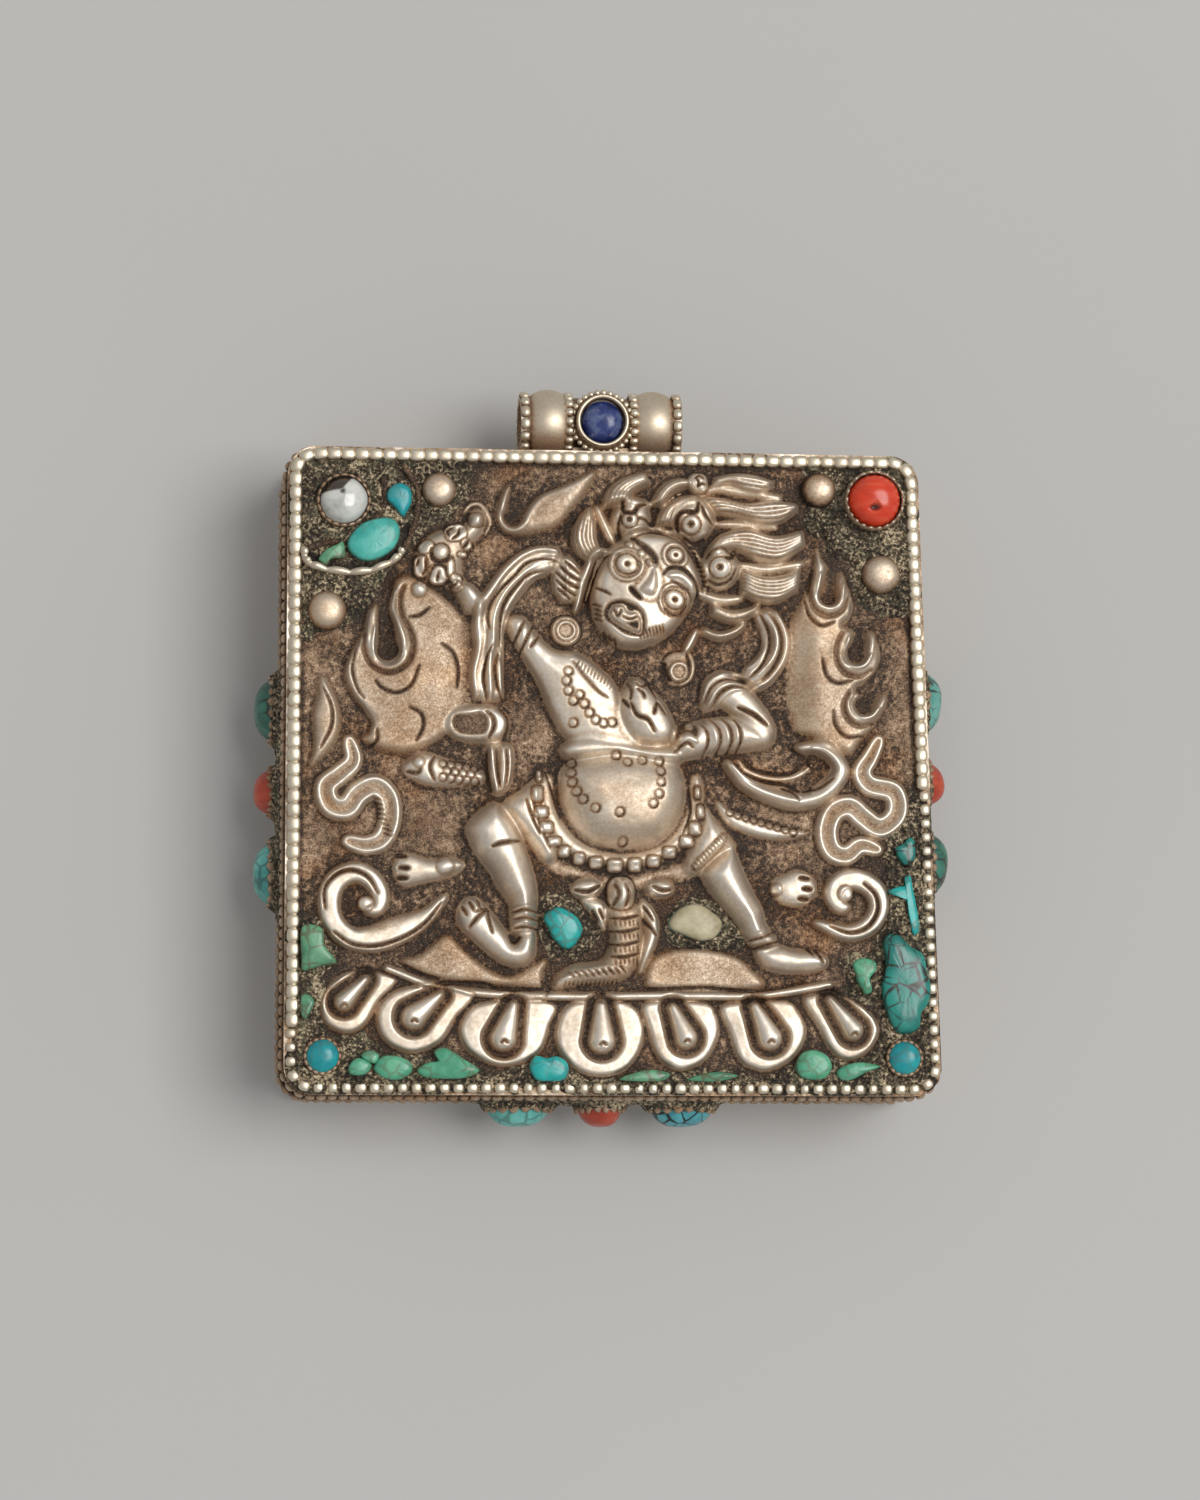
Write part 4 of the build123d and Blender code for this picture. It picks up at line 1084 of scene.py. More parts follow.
# Ribbons that end in curls, and scrolls with a flat band
CURLS = [
    "349,744 353,764 338,779 326,790 331,808 347,811 358,797 375,789 388,801 390,823 382,842 366,848"
    " 348,844",
    "881,738 872,756 864,770 872,783 896,790 899,812 882,826 865,816 851,805 835,811 828,830 833,849"
    " 848,854 862,844 879,848",
]
SCROLLS = [
    "446,898 424,920 400,936 374,944 350,939 334,924 330,903 337,884 354,875 371,881 381,897 378,911"
    " 366,914",
    "816,922 846,932 868,926 880,909 877,890 860,879 842,881 834,893 840,905 850,906",
]
# Lines between the claws of the paws
CLAWS = [(402, 858), (404, 870), (403, 880), (805, 877), (808, 888), (804, 898)]
# Small bosses: place, radius, height
BOSSES = [
    (418, 592, 8, 8), (455, 588, 6, 5), (445, 868, 9, 4), (366, 906, 8, 6), (846, 893, 8, 6),
    (776, 889, 6, 4),
]
# Rings punched along the necklaces and on the belly
PUNCHES = [
    (566, 673), (564, 683), (566, 693), (571, 703), (577, 697), (582, 706), (587, 715), (593, 722),
    (601, 725), (610, 724), (571, 725), (570, 765), (569, 775), (570, 785), (574, 794), (580, 802),
    (592, 811), (616, 815), (657, 763), (658, 773), (658, 784), (656, 796), (650, 806), (614, 757),
    (625, 764), (640, 762), (621, 843),
]
# Belt of skull beads: place, half width, half height
GARLAND = [
    (538, 777, 3, 6), (536, 796, 6, 8), (540, 814, 7, 6), (545, 829, 7, 6), (553, 843, 7, 5),
    (563, 853, 6, 6), (578, 860, 6, 6), (595, 864, 7, 6), (614, 867, 8, 7), (634, 866, 7, 7),
    (653, 862, 7, 6), (669, 853, 7, 6), (686, 842, 7, 6), (694, 829, 6, 7), (700, 812, 4, 7),
    (697, 793, 3, 6),
]
# Fingers round the sceptre: place, half sizes, turn
FINGERS = [
    (454, 534, 11, 9, -0.2), (465, 546, 6, 5, 0.9), (461, 556, 5, 3, 0.0), (424, 549, 8, 6, -0.7),
    (419, 569, 7, 11, 0.0), (436, 577, 9, 10, 0.0), (449, 570, 4, 9, 0.0), (454, 583, 6, 7, 0.3),
]
# Lines between those fingers
FINGER_LINES = [
    "447,538 446,532 452,529", "450,541 456,536 458,529", "462,549 467,542", "415,568 417,561",
    "423,561 424,571 421,577", "428,580 430,572 436,567 443,570 445,579", "435,584 437,574",
    "442,589 447,583 452,588 457,582", "429,550 430,561 439,565 448,561",
]


def beat_forms(relief):
    """The forms beaten up from behind and the folds on them."""
    for name, (height, edge, crown, outline) in SLABS.items():
        relief.form(outline, height, edge, crown, shine=SLAB_SHINE.get(name, 0.0), fade=FADES.get(name))
    relief.ink = np.maximum(relief.ink, 0.28 * np.clip(relief.height / 5.0, 0, 1))
    for name, (height, edge, crown, outline) in BODY.items():
        relief.form(outline, height, edge, crown, shine=DULL_SHINE if name in DULL else 1.0)
    for path, width, end in NOTCHES:
        relief.cut(path, width, end)
    for path in SCROLLS:
        relief.band(path, 12.0, 12)
    for path in CURLS:
        relief.channel(path, 9.5, 11, 0.4)
    for height, _, upper, lower in LOCKS:
        relief.lock(height, upper, lower)
    height, edge, crown, outline = BODY["head"]
    relief.form(outline, height, edge, crown)
    for width, height, paths in RIDGES:
        for path in paths:
            relief.ridge(path, width, height)
    relief.ridge(SCARF_LOOP, 9.5, 18, 0.5)
    for path in HAIR_ROOTS:
        relief.ridge(path, 6.0, 9, 0.5, 0.1, 0.2)
    relief.height = relief.soften(relief.height, 1.7)


def chase_lines(relief):
    """Strands of hair, bright folds, traced lines, small bosses and punched rings."""
    for _, strands, upper, lower in LOCKS:
        relief.part(strands, upper, lower)
    for width, height, paths in GLINTS:
        for path in paths:
            relief.ridge(path, width, height, shade=0.0)
    for width, depth, paths in GROOVES:
        for path in paths:
            relief.groove(path, width, depth, 0.9)
    for path in FLAME_LIPS:
        relief.ridge(path, 3.0, 4, shade=0.0)
    for path in FLAME_FURROWS:
        relief.groove(path, 3.4, 5, 0.62)
    for x, y, radius, height in BOSSES:
        relief.boss(x, y, radius, height)
    relief.stain(621, 800, 66, 50, 0.0, 0.35)
    for x, y in PUNCHES:
        relief.punch(x, y)
    for x, y in CLAWS:
        relief.groove(f"{x - 6},{y} {x + 5},{y + 1}", 2.8, 6)


def draw_belt(relief):
    """The skull beads and the knob over the apron."""
    for x, y, wide, tall in GARLAND:
        relief.boss(x, y, wide, 6, tall, 0.0, 0.9, 3.2)
    relief.boss(620, 894, 14, 6, 17, 0.0, 1.0, 2.4)
    relief.groove("613,885 616,896 612,907", 3.0, 4)
    relief.groove("623,884 627,896 623,908", 3.0, 4)


def draw_sceptre(relief):
    """The fingers round the sceptre and the sceptre's knobs."""
    for x, y, along, across, turn in FINGERS:
        relief.boss(x, y, along, 1.5, across, turn, 0.9, 2.6)
    for path in FINGER_LINES:
        relief.groove(path, 1.7, 3, 1.0)
    relief.boss(439, 554, 8, 4, ring=1.0)
    relief.boss(474, 521, 7, 6, ring=0.9, power=3.0)
    relief.ridge("462,513 469,505 478,504 486,512 489,523 484,535", 2.4, 3)


def draw_eye(relief, x, y, size, pupil, turn):
    """A bulging eye in a dull socket."""
    relief.stain(x, y, size * 1.75, size * 1.6, turn)
    relief.ring(x, y, size * 1.5, 1.6, 2)
    relief.boss(x, y, size, 3, size * 0.88, turn, 1.0)
    relief.pit(x, y, pupil)


def draw_skulls(relief):
    """The three skulls of the crown."""
    for x, y, size, pupil in ((628, 520, 7.5, 3.8), (690, 524, 9, 4.4), (719, 567, 10.5, 4.8)):
        relief.boss(x, y, size, 3, ring=1.0)
        relief.pit(x - 1, y, pupil)
    brows = (
        "621,500 622,511 631,513 637,506 646,502",
        "678,531 676,518 682,511 694,511 698,500",
        "724,556 731,556 735,548",
    )
    for path in brows:
        relief.groove(path, 2.8, 4, 1.0)
    cheeks = (
        "619,513 617,526 620,537", "636,518 644,519 652,524", "700,503 704,514 713,523",
        "683,535 694,541 705,536", "706,557 712,549 722,547 731,552", "707,578 718,583 730,578 736,566",
    )
    for path in cheeks:
        relief.groove(path, 1.9, 3)


def draw_mouth(relief):
    """The open mouth with its fangs."""
    lips = "600,615 604,606 614,601 624,602 637,609 643,619 643,634 635,639 621,636 610,628 602,622"
    teeth = "606,614 611,606 622,606 627,612 635,612 640,620 639,635 628,633 616,627 608,620"
    relief.stain(621, 617, 26, 20, 0.5, 0.7)
    relief.hollow(lips, 5, 1.0)
    relief.form(teeth, 29, 3, 0.2, 0.0)
    relief.groove("611,611 615,618 619,611", 1.9, 3, 1.0)
    relief.groove("619,618 627,621 635,618", 1.6, 3, 1.0)
    relief.hollow("622,625 636,622 636,632 628,630", 3, 1.0)


def draw_earrings(relief):
    """The ring in the left ear and the spiral plate in the right one."""
    relief.boss(565, 631, 15.5, 8)
    relief.stain(565, 631, 15, 15)
    relief.ring(565, 631, 13.2, 1.8, 3)
    relief.ring(565, 631, 8.8, 1.8, 3)
    relief.boss(678, 668, 17, 7, 18, 0.4)
    relief.stain(678, 669, 17, 18)
    relief.groove("664,662 664,672 670,680", 4.2, 3)
    relief.groove("686,650 689,664 686,677 678,681", 2.2, 3)
    relief.ring(679, 671, 8.4, 1.8, 3)
    relief.ridge("684,648 692,656 694,668 690,679 680,685", 2.2, 3)


def draw_head(relief):
    """The wrathful head: three eyes, brows, nose, mouth, skull crown and jewels."""
    relief.hatch((688, 539), (704, 583), (5, 3), 10)
    draw_eye(relief, 624, 566, 10.5, 3.4, 0.5)
    draw_eye(relief, 673, 556, 8, 2.8, 0.0)
    draw_eye(relief, 672, 601, 10, 3.6, 0.5)
    relief.groove("629,538 638,545 646,552 652,560 652,568", 4.2, 3, 1.0)
    for x, y in ((627, 546), (639, 555), (647, 565)):
        relief.boss(x, y, 4.2, 3, 3, 0.8, 0.9)
    relief.groove("660,576 668,569 680,570 690,578 697,590 695,600", 2.8, 3, 1.0)
    relief.ridge("666,577 678,577 688,585 694,596", 3.8, 3, shade=0.0)
    relief.groove("668,582 678,587 686,593 691,601", 1.8, 3, 0.9)
    relief.groove("661,610 668,616 678,615 685,606", 2.2, 3, 0.9)
    relief.form("649,565 656,569 659,581 658,593 652,601 643,601 634,595 633,589 641,579", 37, 7, 0.3, 0.5)
    relief.groove("627,589 631,594 638,601", 3.2, 5, 1.0)
    relief.hatch((636, 632), (660, 626), (3, 9), 8)
    relief.hatch((592, 604), (594, 618), (7, 5), 4)
    relief.hatch((594, 588), (602, 592), (6, 5), 3)
    relief.hatch((602, 632), (612, 639), (4, 6), 3, 1.6)
    relief.groove("607,556 598,563 593,577 588,592 585,602", 2.2, 4)
    relief.groove("628,541 642,533 656,532 672,537 684,545 692,557 697,570", 1.3, 2, 0.9)
    relief.boss(698, 480, 11, 12, power=2.4)
    for path in ("694,476 699,473 704,476", "697,484 702,481 706,482", "696,476 698,480 697,485"):
        relief.groove(path, 1.6, 2, 1.0)
    draw_mouth(relief)
    draw_skulls(relief)
    draw_earrings(relief)


def draw_hands(relief):
    """The open hand at the left and the bracelet of the fist."""
    relief.hollow("452,717 468,715 478,713 486,718 487,730 481,738 458,738 450,729", 4, 0.75)
    for path in ("484,713 491,720 492,730 487,741", "497,710 505,719 506,730 502,742"):
        relief.groove(path, 2.4, 4)
    relief.hollow("675,727 688,721 698,728 695,740 685,735 673,744", 3, 0.9)
    relief.boss(688, 727, 4, 2, ring=0.0)
    relief.ridge("678,744 686,739 695,743", 4.0, 3, shade=0.0)
    relief.groove("672,754 684,744 692,749", 2.0, 3)


def draw_fish(relief):
    """Eye, mouth and gill of the fish, and the scales on it and on the tail at the right."""
    relief.boss(418, 765, 5.5, 3)
    relief.groove("406,774 416,776 420,772", 2.6, 4)
    relief.groove("434,758 429,770 434,784", 2.0, 4)
    for row, shift in ((766, 0), (773, 4), (780, 0)):
        for x in range(442 + shift, 478, 8):
            relief.punch(x, row + (x - 440) * 0.12, 4.0, 0.0)
    for x in range(730, 800, 8):
        relief.punch(x, 812 + (x - 730) * 0.3, 4.0, 1.6)


def draw_dress(relief):
    """The hatched collar, the band at the knee and the rows of the apron."""
    relief.ridge("580,664 592,675 609,686", 8.0, 2, 0.7, 0.0)
    relief.hatch((578, 660), (612, 682), (-4, 9), 11, 0.8, 2, 0.95)
    relief.groove("570,662 582,678 596,693 606,699", 1.4, 3)
    relief.ridge("694,868 708,854 724,836", 5.0, 3, 0.5, 0.5)
    relief.hatch((690, 866), (720, 832), (5, 6), 12, 0.8, 2, 0.95)
    for y in (919, 932, 945, 957):
        relief.groove(f"609,{y} 622,{y + 1} 638,{y - 3}", 1.9, 3, 0.95)
        relief.hatch((613, y + 3), (636, y + 2), (1, 6), 6, 0.9)
    relief.ridge("556,984 580,974 606,969 628,975", 4.5, 3, 0.5, 0.3)
    relief.hatch((566, 972), (618, 967), (7, 7), 9, 1.7, 3)
    relief.hatch((564, 982), (616, 980), (0, 5), 13, 0.9)


def draw_lotus(relief):
    """The strokes on the left curl, the seat of the lotus and its petals."""
    seat = "388,970 430,986 470,993 510,996 545,997 600,997 650,996 700,996 760,995 830,984"
    relief.hatch((372, 800), (384, 836), (9, 3), 8, 1.3, 2.5, 0.7)
    relief.ridge(seat, 5.5, 9, 0.8, 0.2)
    relief.groove("392,976 430,991 470,998 545,1002 650,1001 760,1000 834,989", 1.4, 3, 0.7)
    for drop, rim in PETALS:
        relief.form(rim, 9, 4, 0.2, 0.5, 0.4)
        relief.ridge(rim, 2.2, 2, 0.6, 0.0)
        relief.drop(*drop, 13)
        x, y = drop[2:4]
        relief.groove(f"{x - 4},{y + 6} {x},{y + 3} {x + 4},{y + 6}", 2.0, 3)


def draw_figure():
    """The whole panel: forms first, then folds, lines and beads."""
    relief = Relief(*SHEET_PANEL)
    beat_forms(relief)
    chase_lines(relief)
    draw_belt(relief)
    draw_sceptre(relief)
    draw_head(relief)
    draw_hands(relief)
    draw_fish(relief)
    draw_dress(relief)
    draw_lotus(relief)
    return relief


def panel_grid(relief):
    """Sheet points of the grid, held inside the panel's rounded outline, and what lies outside it."""
    x, y = sheet(*np.meshgrid(relief.xs, relief.ys))
    radius = CORNER_RADIUS + PLATE_OVERHANG
    low = LOW_EDGE - PLATE_OVERHANG
    high = HIGH_EDGE + PLATE_OVERHANG
    left = LEFT - PLATE_OVERHANG
    y_in = np.clip(y, low, high)
    right = right_edge(y_in) + PLATE_OVERHANG
    x_in = np.clip(x, left, right)
    centre_x = np.clip(x_in, left + radius, right - radius)
    centre_y = np.clip(y_in, low + radius, high - radius)
    reach = np.hypot(x_in - centre_x, y_in - centre_y)
    pull = np.where(reach > radius, radius / np.maximum(reach, 1e-9), 1.0)
    x_in = centre_x + (x_in - centre_x) * pull
    y_in = centre_y + (y_in - centre_y) * pull
    outside = np.hypot(x_in - x, y_in - y) > 1e-7
    return x_in, y_in, outside


def grid_faces(keep):
    """Quads of a grid of points; a quad stays where keep is true at one of its corners."""
    rows, columns = keep.shape
    index = np.arange(rows * columns).reshape(rows, columns)
    wanted = keep[:-1, :-1] | keep[1:, :-1] | keep[:-1, 1:] | keep[1:, 1:]
    return np.stack([index[1:, :-1], index[1:, 1:], index[:-1, 1:], index[:-1, :-1]], axis=-1)[wanted]


def grid_skin(x, y, z, keep):
    """Points and quads of a grid, only the points that the quads use, and which those are."""
    used, quads = np.unique(grid_faces(keep), return_inverse=True)
    verts = np.stack([x, y, z], axis=-1).reshape(-1, 3)
    return verts[used], quads.reshape(-1, 4).tolist(), used


# Blurs that tell hollows and crests from the ground, in tenths of a millimetre
NEAR = 6.0
BROAD = 20.0
# Distance of the border's inner foot from the edge, where the dirt gathers
BORDER_FOOT = 0.00125
BACK_STEP = 4
EDGE_POINTS = 240
EDGE_LIP = 0.00002


def make_panel(relief, lac_reach):
    """The figure panel: worked front, hollow back and the cut edge."""
    height = relief.soften(relief.height, 0.8)
    height += 0.45 * relief.grain(22.0, 3) + 0.1 * relief.grain(3.0, 4)
    near = relief.soften(height, NEAR)
    broad = relief.soften(height, BROAD)
    hollow = np.clip((near - height) / 9.0, 0, 1)
    shelter = np.clip((broad - height) / 9.0 - 0.1, 0, 1)
    ground = np.clip(1 - height / 7.0, 0, 1)
    crest = np.clip((height - near) / 6.0, 0, 1)
    dirt = ground * np.clip(shelter + 0.35 * relief.grain(14.0, 8) * (shelter > 0), 0, 1)
    crumbs = np.clip(relief.grain(1.2, 6), -2, 2)
    height += dirt * (2.0 + 0.6 * crumbs)
    stain = 0.5 + 0.5 * np.clip(relief.grain(26.0, 5), -1.5, 1.5) / 1.5
    grime_and_shade = 0.2 + 0.4 * ground + 0.16 * ground * (stain + 0.4 * crumbs) + 0.2 * hollow
    grime_and_shade += 0.28 * dirt * (1 + 0.35 * crumbs)
    grime_and_shade += 0.3 * np.clip(1 + lac_reach / 22.0, 0, 1) * ground
    shine = relief.soften(relief.shine, 1.2)
    grime_and_shade = grime_and_shade * (1 - 0.68 * shine) + 0.05 * shine
    grime_and_shade += 0.9 * relief.soften(relief.ink, 0.6) - 0.15 * crest

    x, y, outside = panel_grid(relief)
    edge = np.minimum(np.minimum(x - LEFT, right_edge(y) - x), np.minimum(y - LOW_EDGE, HIGH_EDGE - y))
    grime_and_shade += 0.3 * np.clip(1.4 - np.abs(edge - BORDER_FOOT) / 0.0003, 0, 1) * ground
    grime_and_shade -= 0.4 * np.clip(2 - edge / 0.0005, 0, 1)
    verts, faces, used = grid_skin(x, y, FACE_TOP + height * TENTH, ~outside)
    pile = Pile()
    pile.add(verts, faces, np.clip(grime_and_shade, 0, 1).ravel()[used])

    coarse = np.s_[::BACK_STEP, ::BACK_STEP]
    inner = np.maximum(CASE_TOP + relief.soften(height, 5.0)[coarse] * TENTH, CASE_TOP)
    verts, faces, _ = grid_skin(x[coarse], y[coarse], inner, ~outside[coarse])
    pile.add(verts, [face[::-1] for face in faces], 0.45)

    points, _ = box_outline(PLATE_OVERHANG, EDGE_POINTS)
    levels = (CASE_TOP, FACE_TOP + EDGE_LIP)
    rings = [np.column_stack([points, np.full(EDGE_POINTS, level)]) for level in levels]
    pile.add(*lathe(rings, (0.12, 0.12), closed_top=False))
    pile.piece("figure_panel", SILVER_RELIEF, "silver", "face_plate")


# Lac: outlines on the sheet, and the floor of the crescent cell
LAC_PATCHES = [
    "296,456 470,456 470,490 446,514 420,534 404,556 384,574 372,596 352,624 296,640",
    "806,456 920,456 922,610 890,608 866,594 856,566 838,548 810,520",
    "294,915 318,922 340,958 324,980 318,1012 330,1036 362,1038 380,1052 410,1060 440,1058 472,1066"
    " 500,1072 530,1064 556,1058 580,1076 620,1080 640,1072 684,1074 720,1068 740,1070 766,1074 800,1062"
    " 822,1054 850,1062 876,1052 884,1030 880,1000 850,998 846,955 876,948 884,900 888,862 894,818"
    " 912,790 932,790 940,1092 292,1092",
    "536,906 548,894 572,898 590,912 602,934 598,948 575,960 552,954 540,936",
    "660,918 678,900 705,896 730,908 748,928 758,944 735,950 700,950 672,942",
]
CRESCENT_FLOOR = (
    "303,553 306,567 318,573 345,576 372,573 394,562 408,544 412,522 400,530 384,554 350,566 322,560"
)
LAC_REACH = 40.0


def lac_depth(relief):
    """How far inside the lac each point of the grid lies, with a ragged edge."""
    depth = np.full(relief.height.shape, -LAC_REACH)
    for text in LAC_PATCHES:
        points = sheet_points(text)
        where, x, y = relief.window(points, LAC_REACH)
        depth[where] = np.maximum(depth[where], relief.depth_inside(points, x, y))
    return depth + 2.4 * relief.grain(6.0, 11) + 1.4 * relief.grain(2.2, 12)


def make_lac(relief, depth):
    """The lac: a rough granular fill that runs out over the silver."""
    top = (LAC_TOP - FACE_TOP) / TENTH
    rise = np.clip(depth / 12.0 + 0.2, -0.4, 1)
    lumps = 0.9 * relief.grain(7.0, 13) + 0.8 * relief.grain(2.0, 14) + 0.7 * relief.grain(1.2, 15)
    height = top * rise * 0.9 + lumps * np.clip(rise, 0, 1)
    pores = np.clip(-lumps / 3.0, 0, 0.7) + 0.2 * np.clip(1 - rise, 0, 1)
    cell = smooth_path(CRESCENT_FLOOR, closed=True)
    where, cell_x, cell_y = relief.window(cell, 2)
    pores[where] += 0.75 * relief.inside(cell, cell_x, cell_y)
    x, y, outside = panel_grid(relief)
    verts, faces, used = grid_skin(x, y, FACE_TOP + height * TENTH, (depth > -6) & ~outside)
    piece("lac_fill", verts, faces, np.clip(pores, 0, 1).ravel()[used], LAC, "lac", "lac_bed")


# Chips of stone in the lac: look, height in tenths, outlines
CHIPS = {
    "crescent_turquoise_upper": ("blue", 10, [
        "397,485 408,490 410,503 405,514 401,519 393,510 385,501 387,491",
    ]),
    "crescent_turquoise_middle": ("aqua", 11, [
        "347,542 356,530 368,523 386,520 396,526 398,538 392,551 380,560 366,564 355,561 347,552",
    ]),
    "crescent_turquoise_lower": ("green", 9, [
        "317,562 325,553 335,548 342,545 343,560 330,563 325,569 319,566",
    ]),
    "left_turquoise_upper": ("green", 10, [
        "303,930 318,928 325,935 326,948 338,965 322,968 305,973 303,960",
    ]),
    "left_turquoise_lower": ("green", 9, ["303,998 310,996 316,1003 313,1012 307,1021 303,1015"]),
    "lower_turquoise_1": ("pale", 10, [
        "350,1067 357,1059 366,1060 373,1066 366,1075 352,1075",
        "362,1056 370,1051 380,1055 377,1064 368,1062",
        "375,1066 383,1057 400,1057 413,1065 411,1074 400,1080 386,1079 376,1072",
    ]),
    "lower_turquoise_2": ("pale", 10, [
        "417,1070 428,1063 438,1061 434,1052 445,1048 462,1058 479,1070 465,1078 440,1079 424,1077",
    ]),
    "lower_turquoise_3": ("bright", 10, [
        "529,1066 535,1056 546,1058 556,1056 566,1062 568,1072 562,1080 548,1081 535,1079",
    ]),
    "lower_turquoise_4": ("green", 8, ["618,1079 634,1072 652,1069 669,1073 662,1080 640,1081"]),
    "lower_turquoise_5": ("green", 8, ["686,1079 702,1073 720,1071 737,1075 722,1080 704,1081"]),
    "lower_turquoise_6": ("pale", 10, [
        "795,1063 802,1052 815,1049 828,1056 831,1068 822,1078 806,1078 797,1073",
    ]),
    "lower_turquoise_7": ("pale", 9, ["836,1071 845,1064 862,1061 880,1065 866,1071 850,1079 840,1078"]),
    "right_turquoise_large": ("teal", 11, [
        "882,985 886,960 884,945 889,934 900,934 911,945 924,953 928,970 932,988 928,1004 922,1012"
        " 920,1026 909,1032 896,1030 888,1012",
    ]),
    "right_turquoise_pale": ("pale", 10, [
        "853,962 863,957 875,960 877,968 870,978 872,990 865,993 858,982 855,972",
    ]),
    "right_turquoise_green": ("teal", 9, ["896,848 905,842 910,836 916,839 917,855 912,865 904,862"]),
    "right_turquoise_branch": ("bright", 8, [
        "890,889 900,885 906,884 906,876 912,874 914,885 917,900 921,925 919,932 914,933 910,915 908,900"
        " 900,893 892,893",
    ]),
}
CENTRE_STONES = {
    "centre_turquoise": ("bright", 15, [
        "543,918 555,908 568,912 578,920 582,932 575,945 565,950 553,940 548,930",
    ]),
    "centre_pale_stone": (None, 15, [
        "669,920 680,908 697,904 712,912 722,923 715,937 700,941 680,934 670,929",
    ]),
}
# Section of a chip: share of the outline, rise, grime
CHIP_SECTION = [
    (1.02, -0.3, 0.7), (1.0, 0.45, 0.35), (0.95, 0.75, 0.05), (0.86, 0.92, 0.0), (0.62, 1.0, 0.0),
    (0.34, 1.03, 0.0), (0.1, 1.04, 0.0),
]
CHIP_SINK = 0.0002
CHIP_SEED = 40


def add_chip(pile, text, base, height, seed):
    """A broken chip: steep uneven sides and a rubbed, slightly tilted top."""
    rim = smooth_path(text, closed=True, samples=5)
    middle = rim.mean(axis=0)
    own = np.random.default_rng(seed)
    tilt = own.normal(0, 0.04, 2)
    rings = []
    darks = []
    for share, rise, dark in CHIP_SECTION:
        inner = middle + (rim - middle) * share
        lumps = own.normal(0, 0.006, len(rim)) * height * (rise > 0.5)
        slope = ((inner - middle) @ tilt) * (rise > 0.4)
        rings.append(np.column_stack([*sheet(*inner.T), base + (height * rise + lumps + slope) * TENTH]))
        darks.append(dark)
    pile.add(*lathe(rings, darks))


def make_chips():
    """The chips in the lac and the two stones between the legs."""
    for base, table in ((LAC_TOP - CHIP_SINK, CHIPS), (FACE_TOP, CENTRE_STONES)):
        for order, (node, (look, height, outlines)) in enumerate(table.items()):
            pile = Pile()
            for number, text in enumerate(outlines):
                add_chip(pile, text, base, height, CHIP_SEED + 7 * order + number)
            material = STONE[look] if look else PALE_STONE
            pile.piece(node + "_stone", material, "turquoise" if look else "pale_stone", node)


# Round stones: name, node, material, slot, spread over the node, height, seed, wear, mark
ROUND_STONES = [
    ("coral", "coral_cabochon", CORAL, "coral", 1.04, 0.0022, 21, 0.02, coral_chip),
    ("pearl", "pearl_bead", PEARL, "pearl", 1.04, 0.0021, 22, 0.025, pearl_break),
    ("left_corner", "left_corner_turquoise", STONE["blue"], "turquoise", 1.12, 0.0011, 23, 0.03, None),
    ("right_corner", "right_corner_turquoise", STONE["blue"], "turquoise", 1.12, 0.0011, 24, 0.03, None),
]
# Their bezels: silver, distance outside the node, height, number of teeth, seed, pointed
ROUND_BEZELS = {
    "coral": (SILVER_BEADS, 0.00045, 0.0013, 22, 5, True),
    "pearl": (SILVER_WALL, 0.00042, 0.0007, 20, 6, False),
    "left_corner": (SILVER_WALL, 0.00038, 0.0005, 16, 23, False),
    "right_corner": (SILVER_WALL, 0.00038, 0.0005, 16, 24, False),
}
# Studs: place on the sheet, radius in millimetres, dirt at the foot
STUDS = [(437, 491, 1.75, 0.0), (326, 614, 1.98, 0.0), (821, 485, 1.8, 0.35), (884, 570, 2.0, 0.0)]
STUD_SIDES = 40
STUD_LEVELS = 12
STUD_HEIGHT = 0.0016
STUD_SINK = 0.0003
STUD_SEED = 60
# Walls of the crescent cell: share of the height that stands free, grime, path
CELL_WALLS = [
    (1.0, 0.05, "302,550 304,563 316,571 345,576 372,573 394,562 402,552"),
    (0.55, 0.8, "402,552 410,536 416,512 416,490 402,466"),
    (0.5, 0.85, "303,553 322,547 348,541 366,528 380,514 384,498 382,478"),
]
# Section of a cell wall: sideways in tenths, lean of the teeth, level
CELL_SECTION = ((-2.6, 0.0, 0.0), (-2.4, 0.0, 0.9), (1.2, 3.5, 1.0), (1.6, 3.5, 0.6))
CELL_TOOTH = 0.5
CELL_SINK = 0.0002


def middle_of(node):
    """Middle of a node, and its half sizes."""
    low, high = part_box(node)
    return [(a + b) / 2 for a, b in zip(low, high)], [(b - a) / 2 for a, b in zip(low, high)]


def make_round_stones():
    """The coral, the pearl and the corner turquoises in their bezels."""
    for name, node, material, slot, spread, height, seed, worn, mark in ROUND_STONES:
        (x, y, z), half = middle_of(node)
        spot = Spot((x, y, z - half[2]))
        radius = half[0] * spread
        cabochon(name + "_stone", spot, radius, radius, height, material, slot, node, seed, worn, mark)
        metal, gap, rise, teeth, cut, pointed = ROUND_BEZELS[name]
        pile = Pile()
        add_scallops(pile, spot, half[0] + gap, half[0] + gap, rise, teeth, cut, pointed)
        pile.piece(name + "_scallops", metal, "silver", name + "_bezel")


def make_studs():
    """The four silver studs."""
    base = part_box("face_studs")[0][2] - STUD_SINK
    turns = around(STUD_SIDES)
    pile = Pile()
    for order, (x, y, radius, dirt) in enumerate(STUDS):
        spot = Spot((*sheet(x, y), base))
        rings = []
        darks = []
        for share in np.linspace(0, 1, STUD_LEVELS):
            angle = share * pi / 2
            reach = radius * MILLIMETRE * cos(angle) ** 0.6 * ripple(turns, STUD_SEED + order, 0.015)
            rings.append(spot.ring(turns, reach, STUD_HEIGHT * sin(angle)))
            # Dirt and painted shade: each stud darkens towards its foot, with its own listed dirt on top.
            darks.append(max(0.24, 0.98 - 1.2 * share) + dirt * (1 - share))
        pile.add(*lathe(rings, darks))
    pile.piece("studs", SILVER_BEADS, "silver", "face_studs")


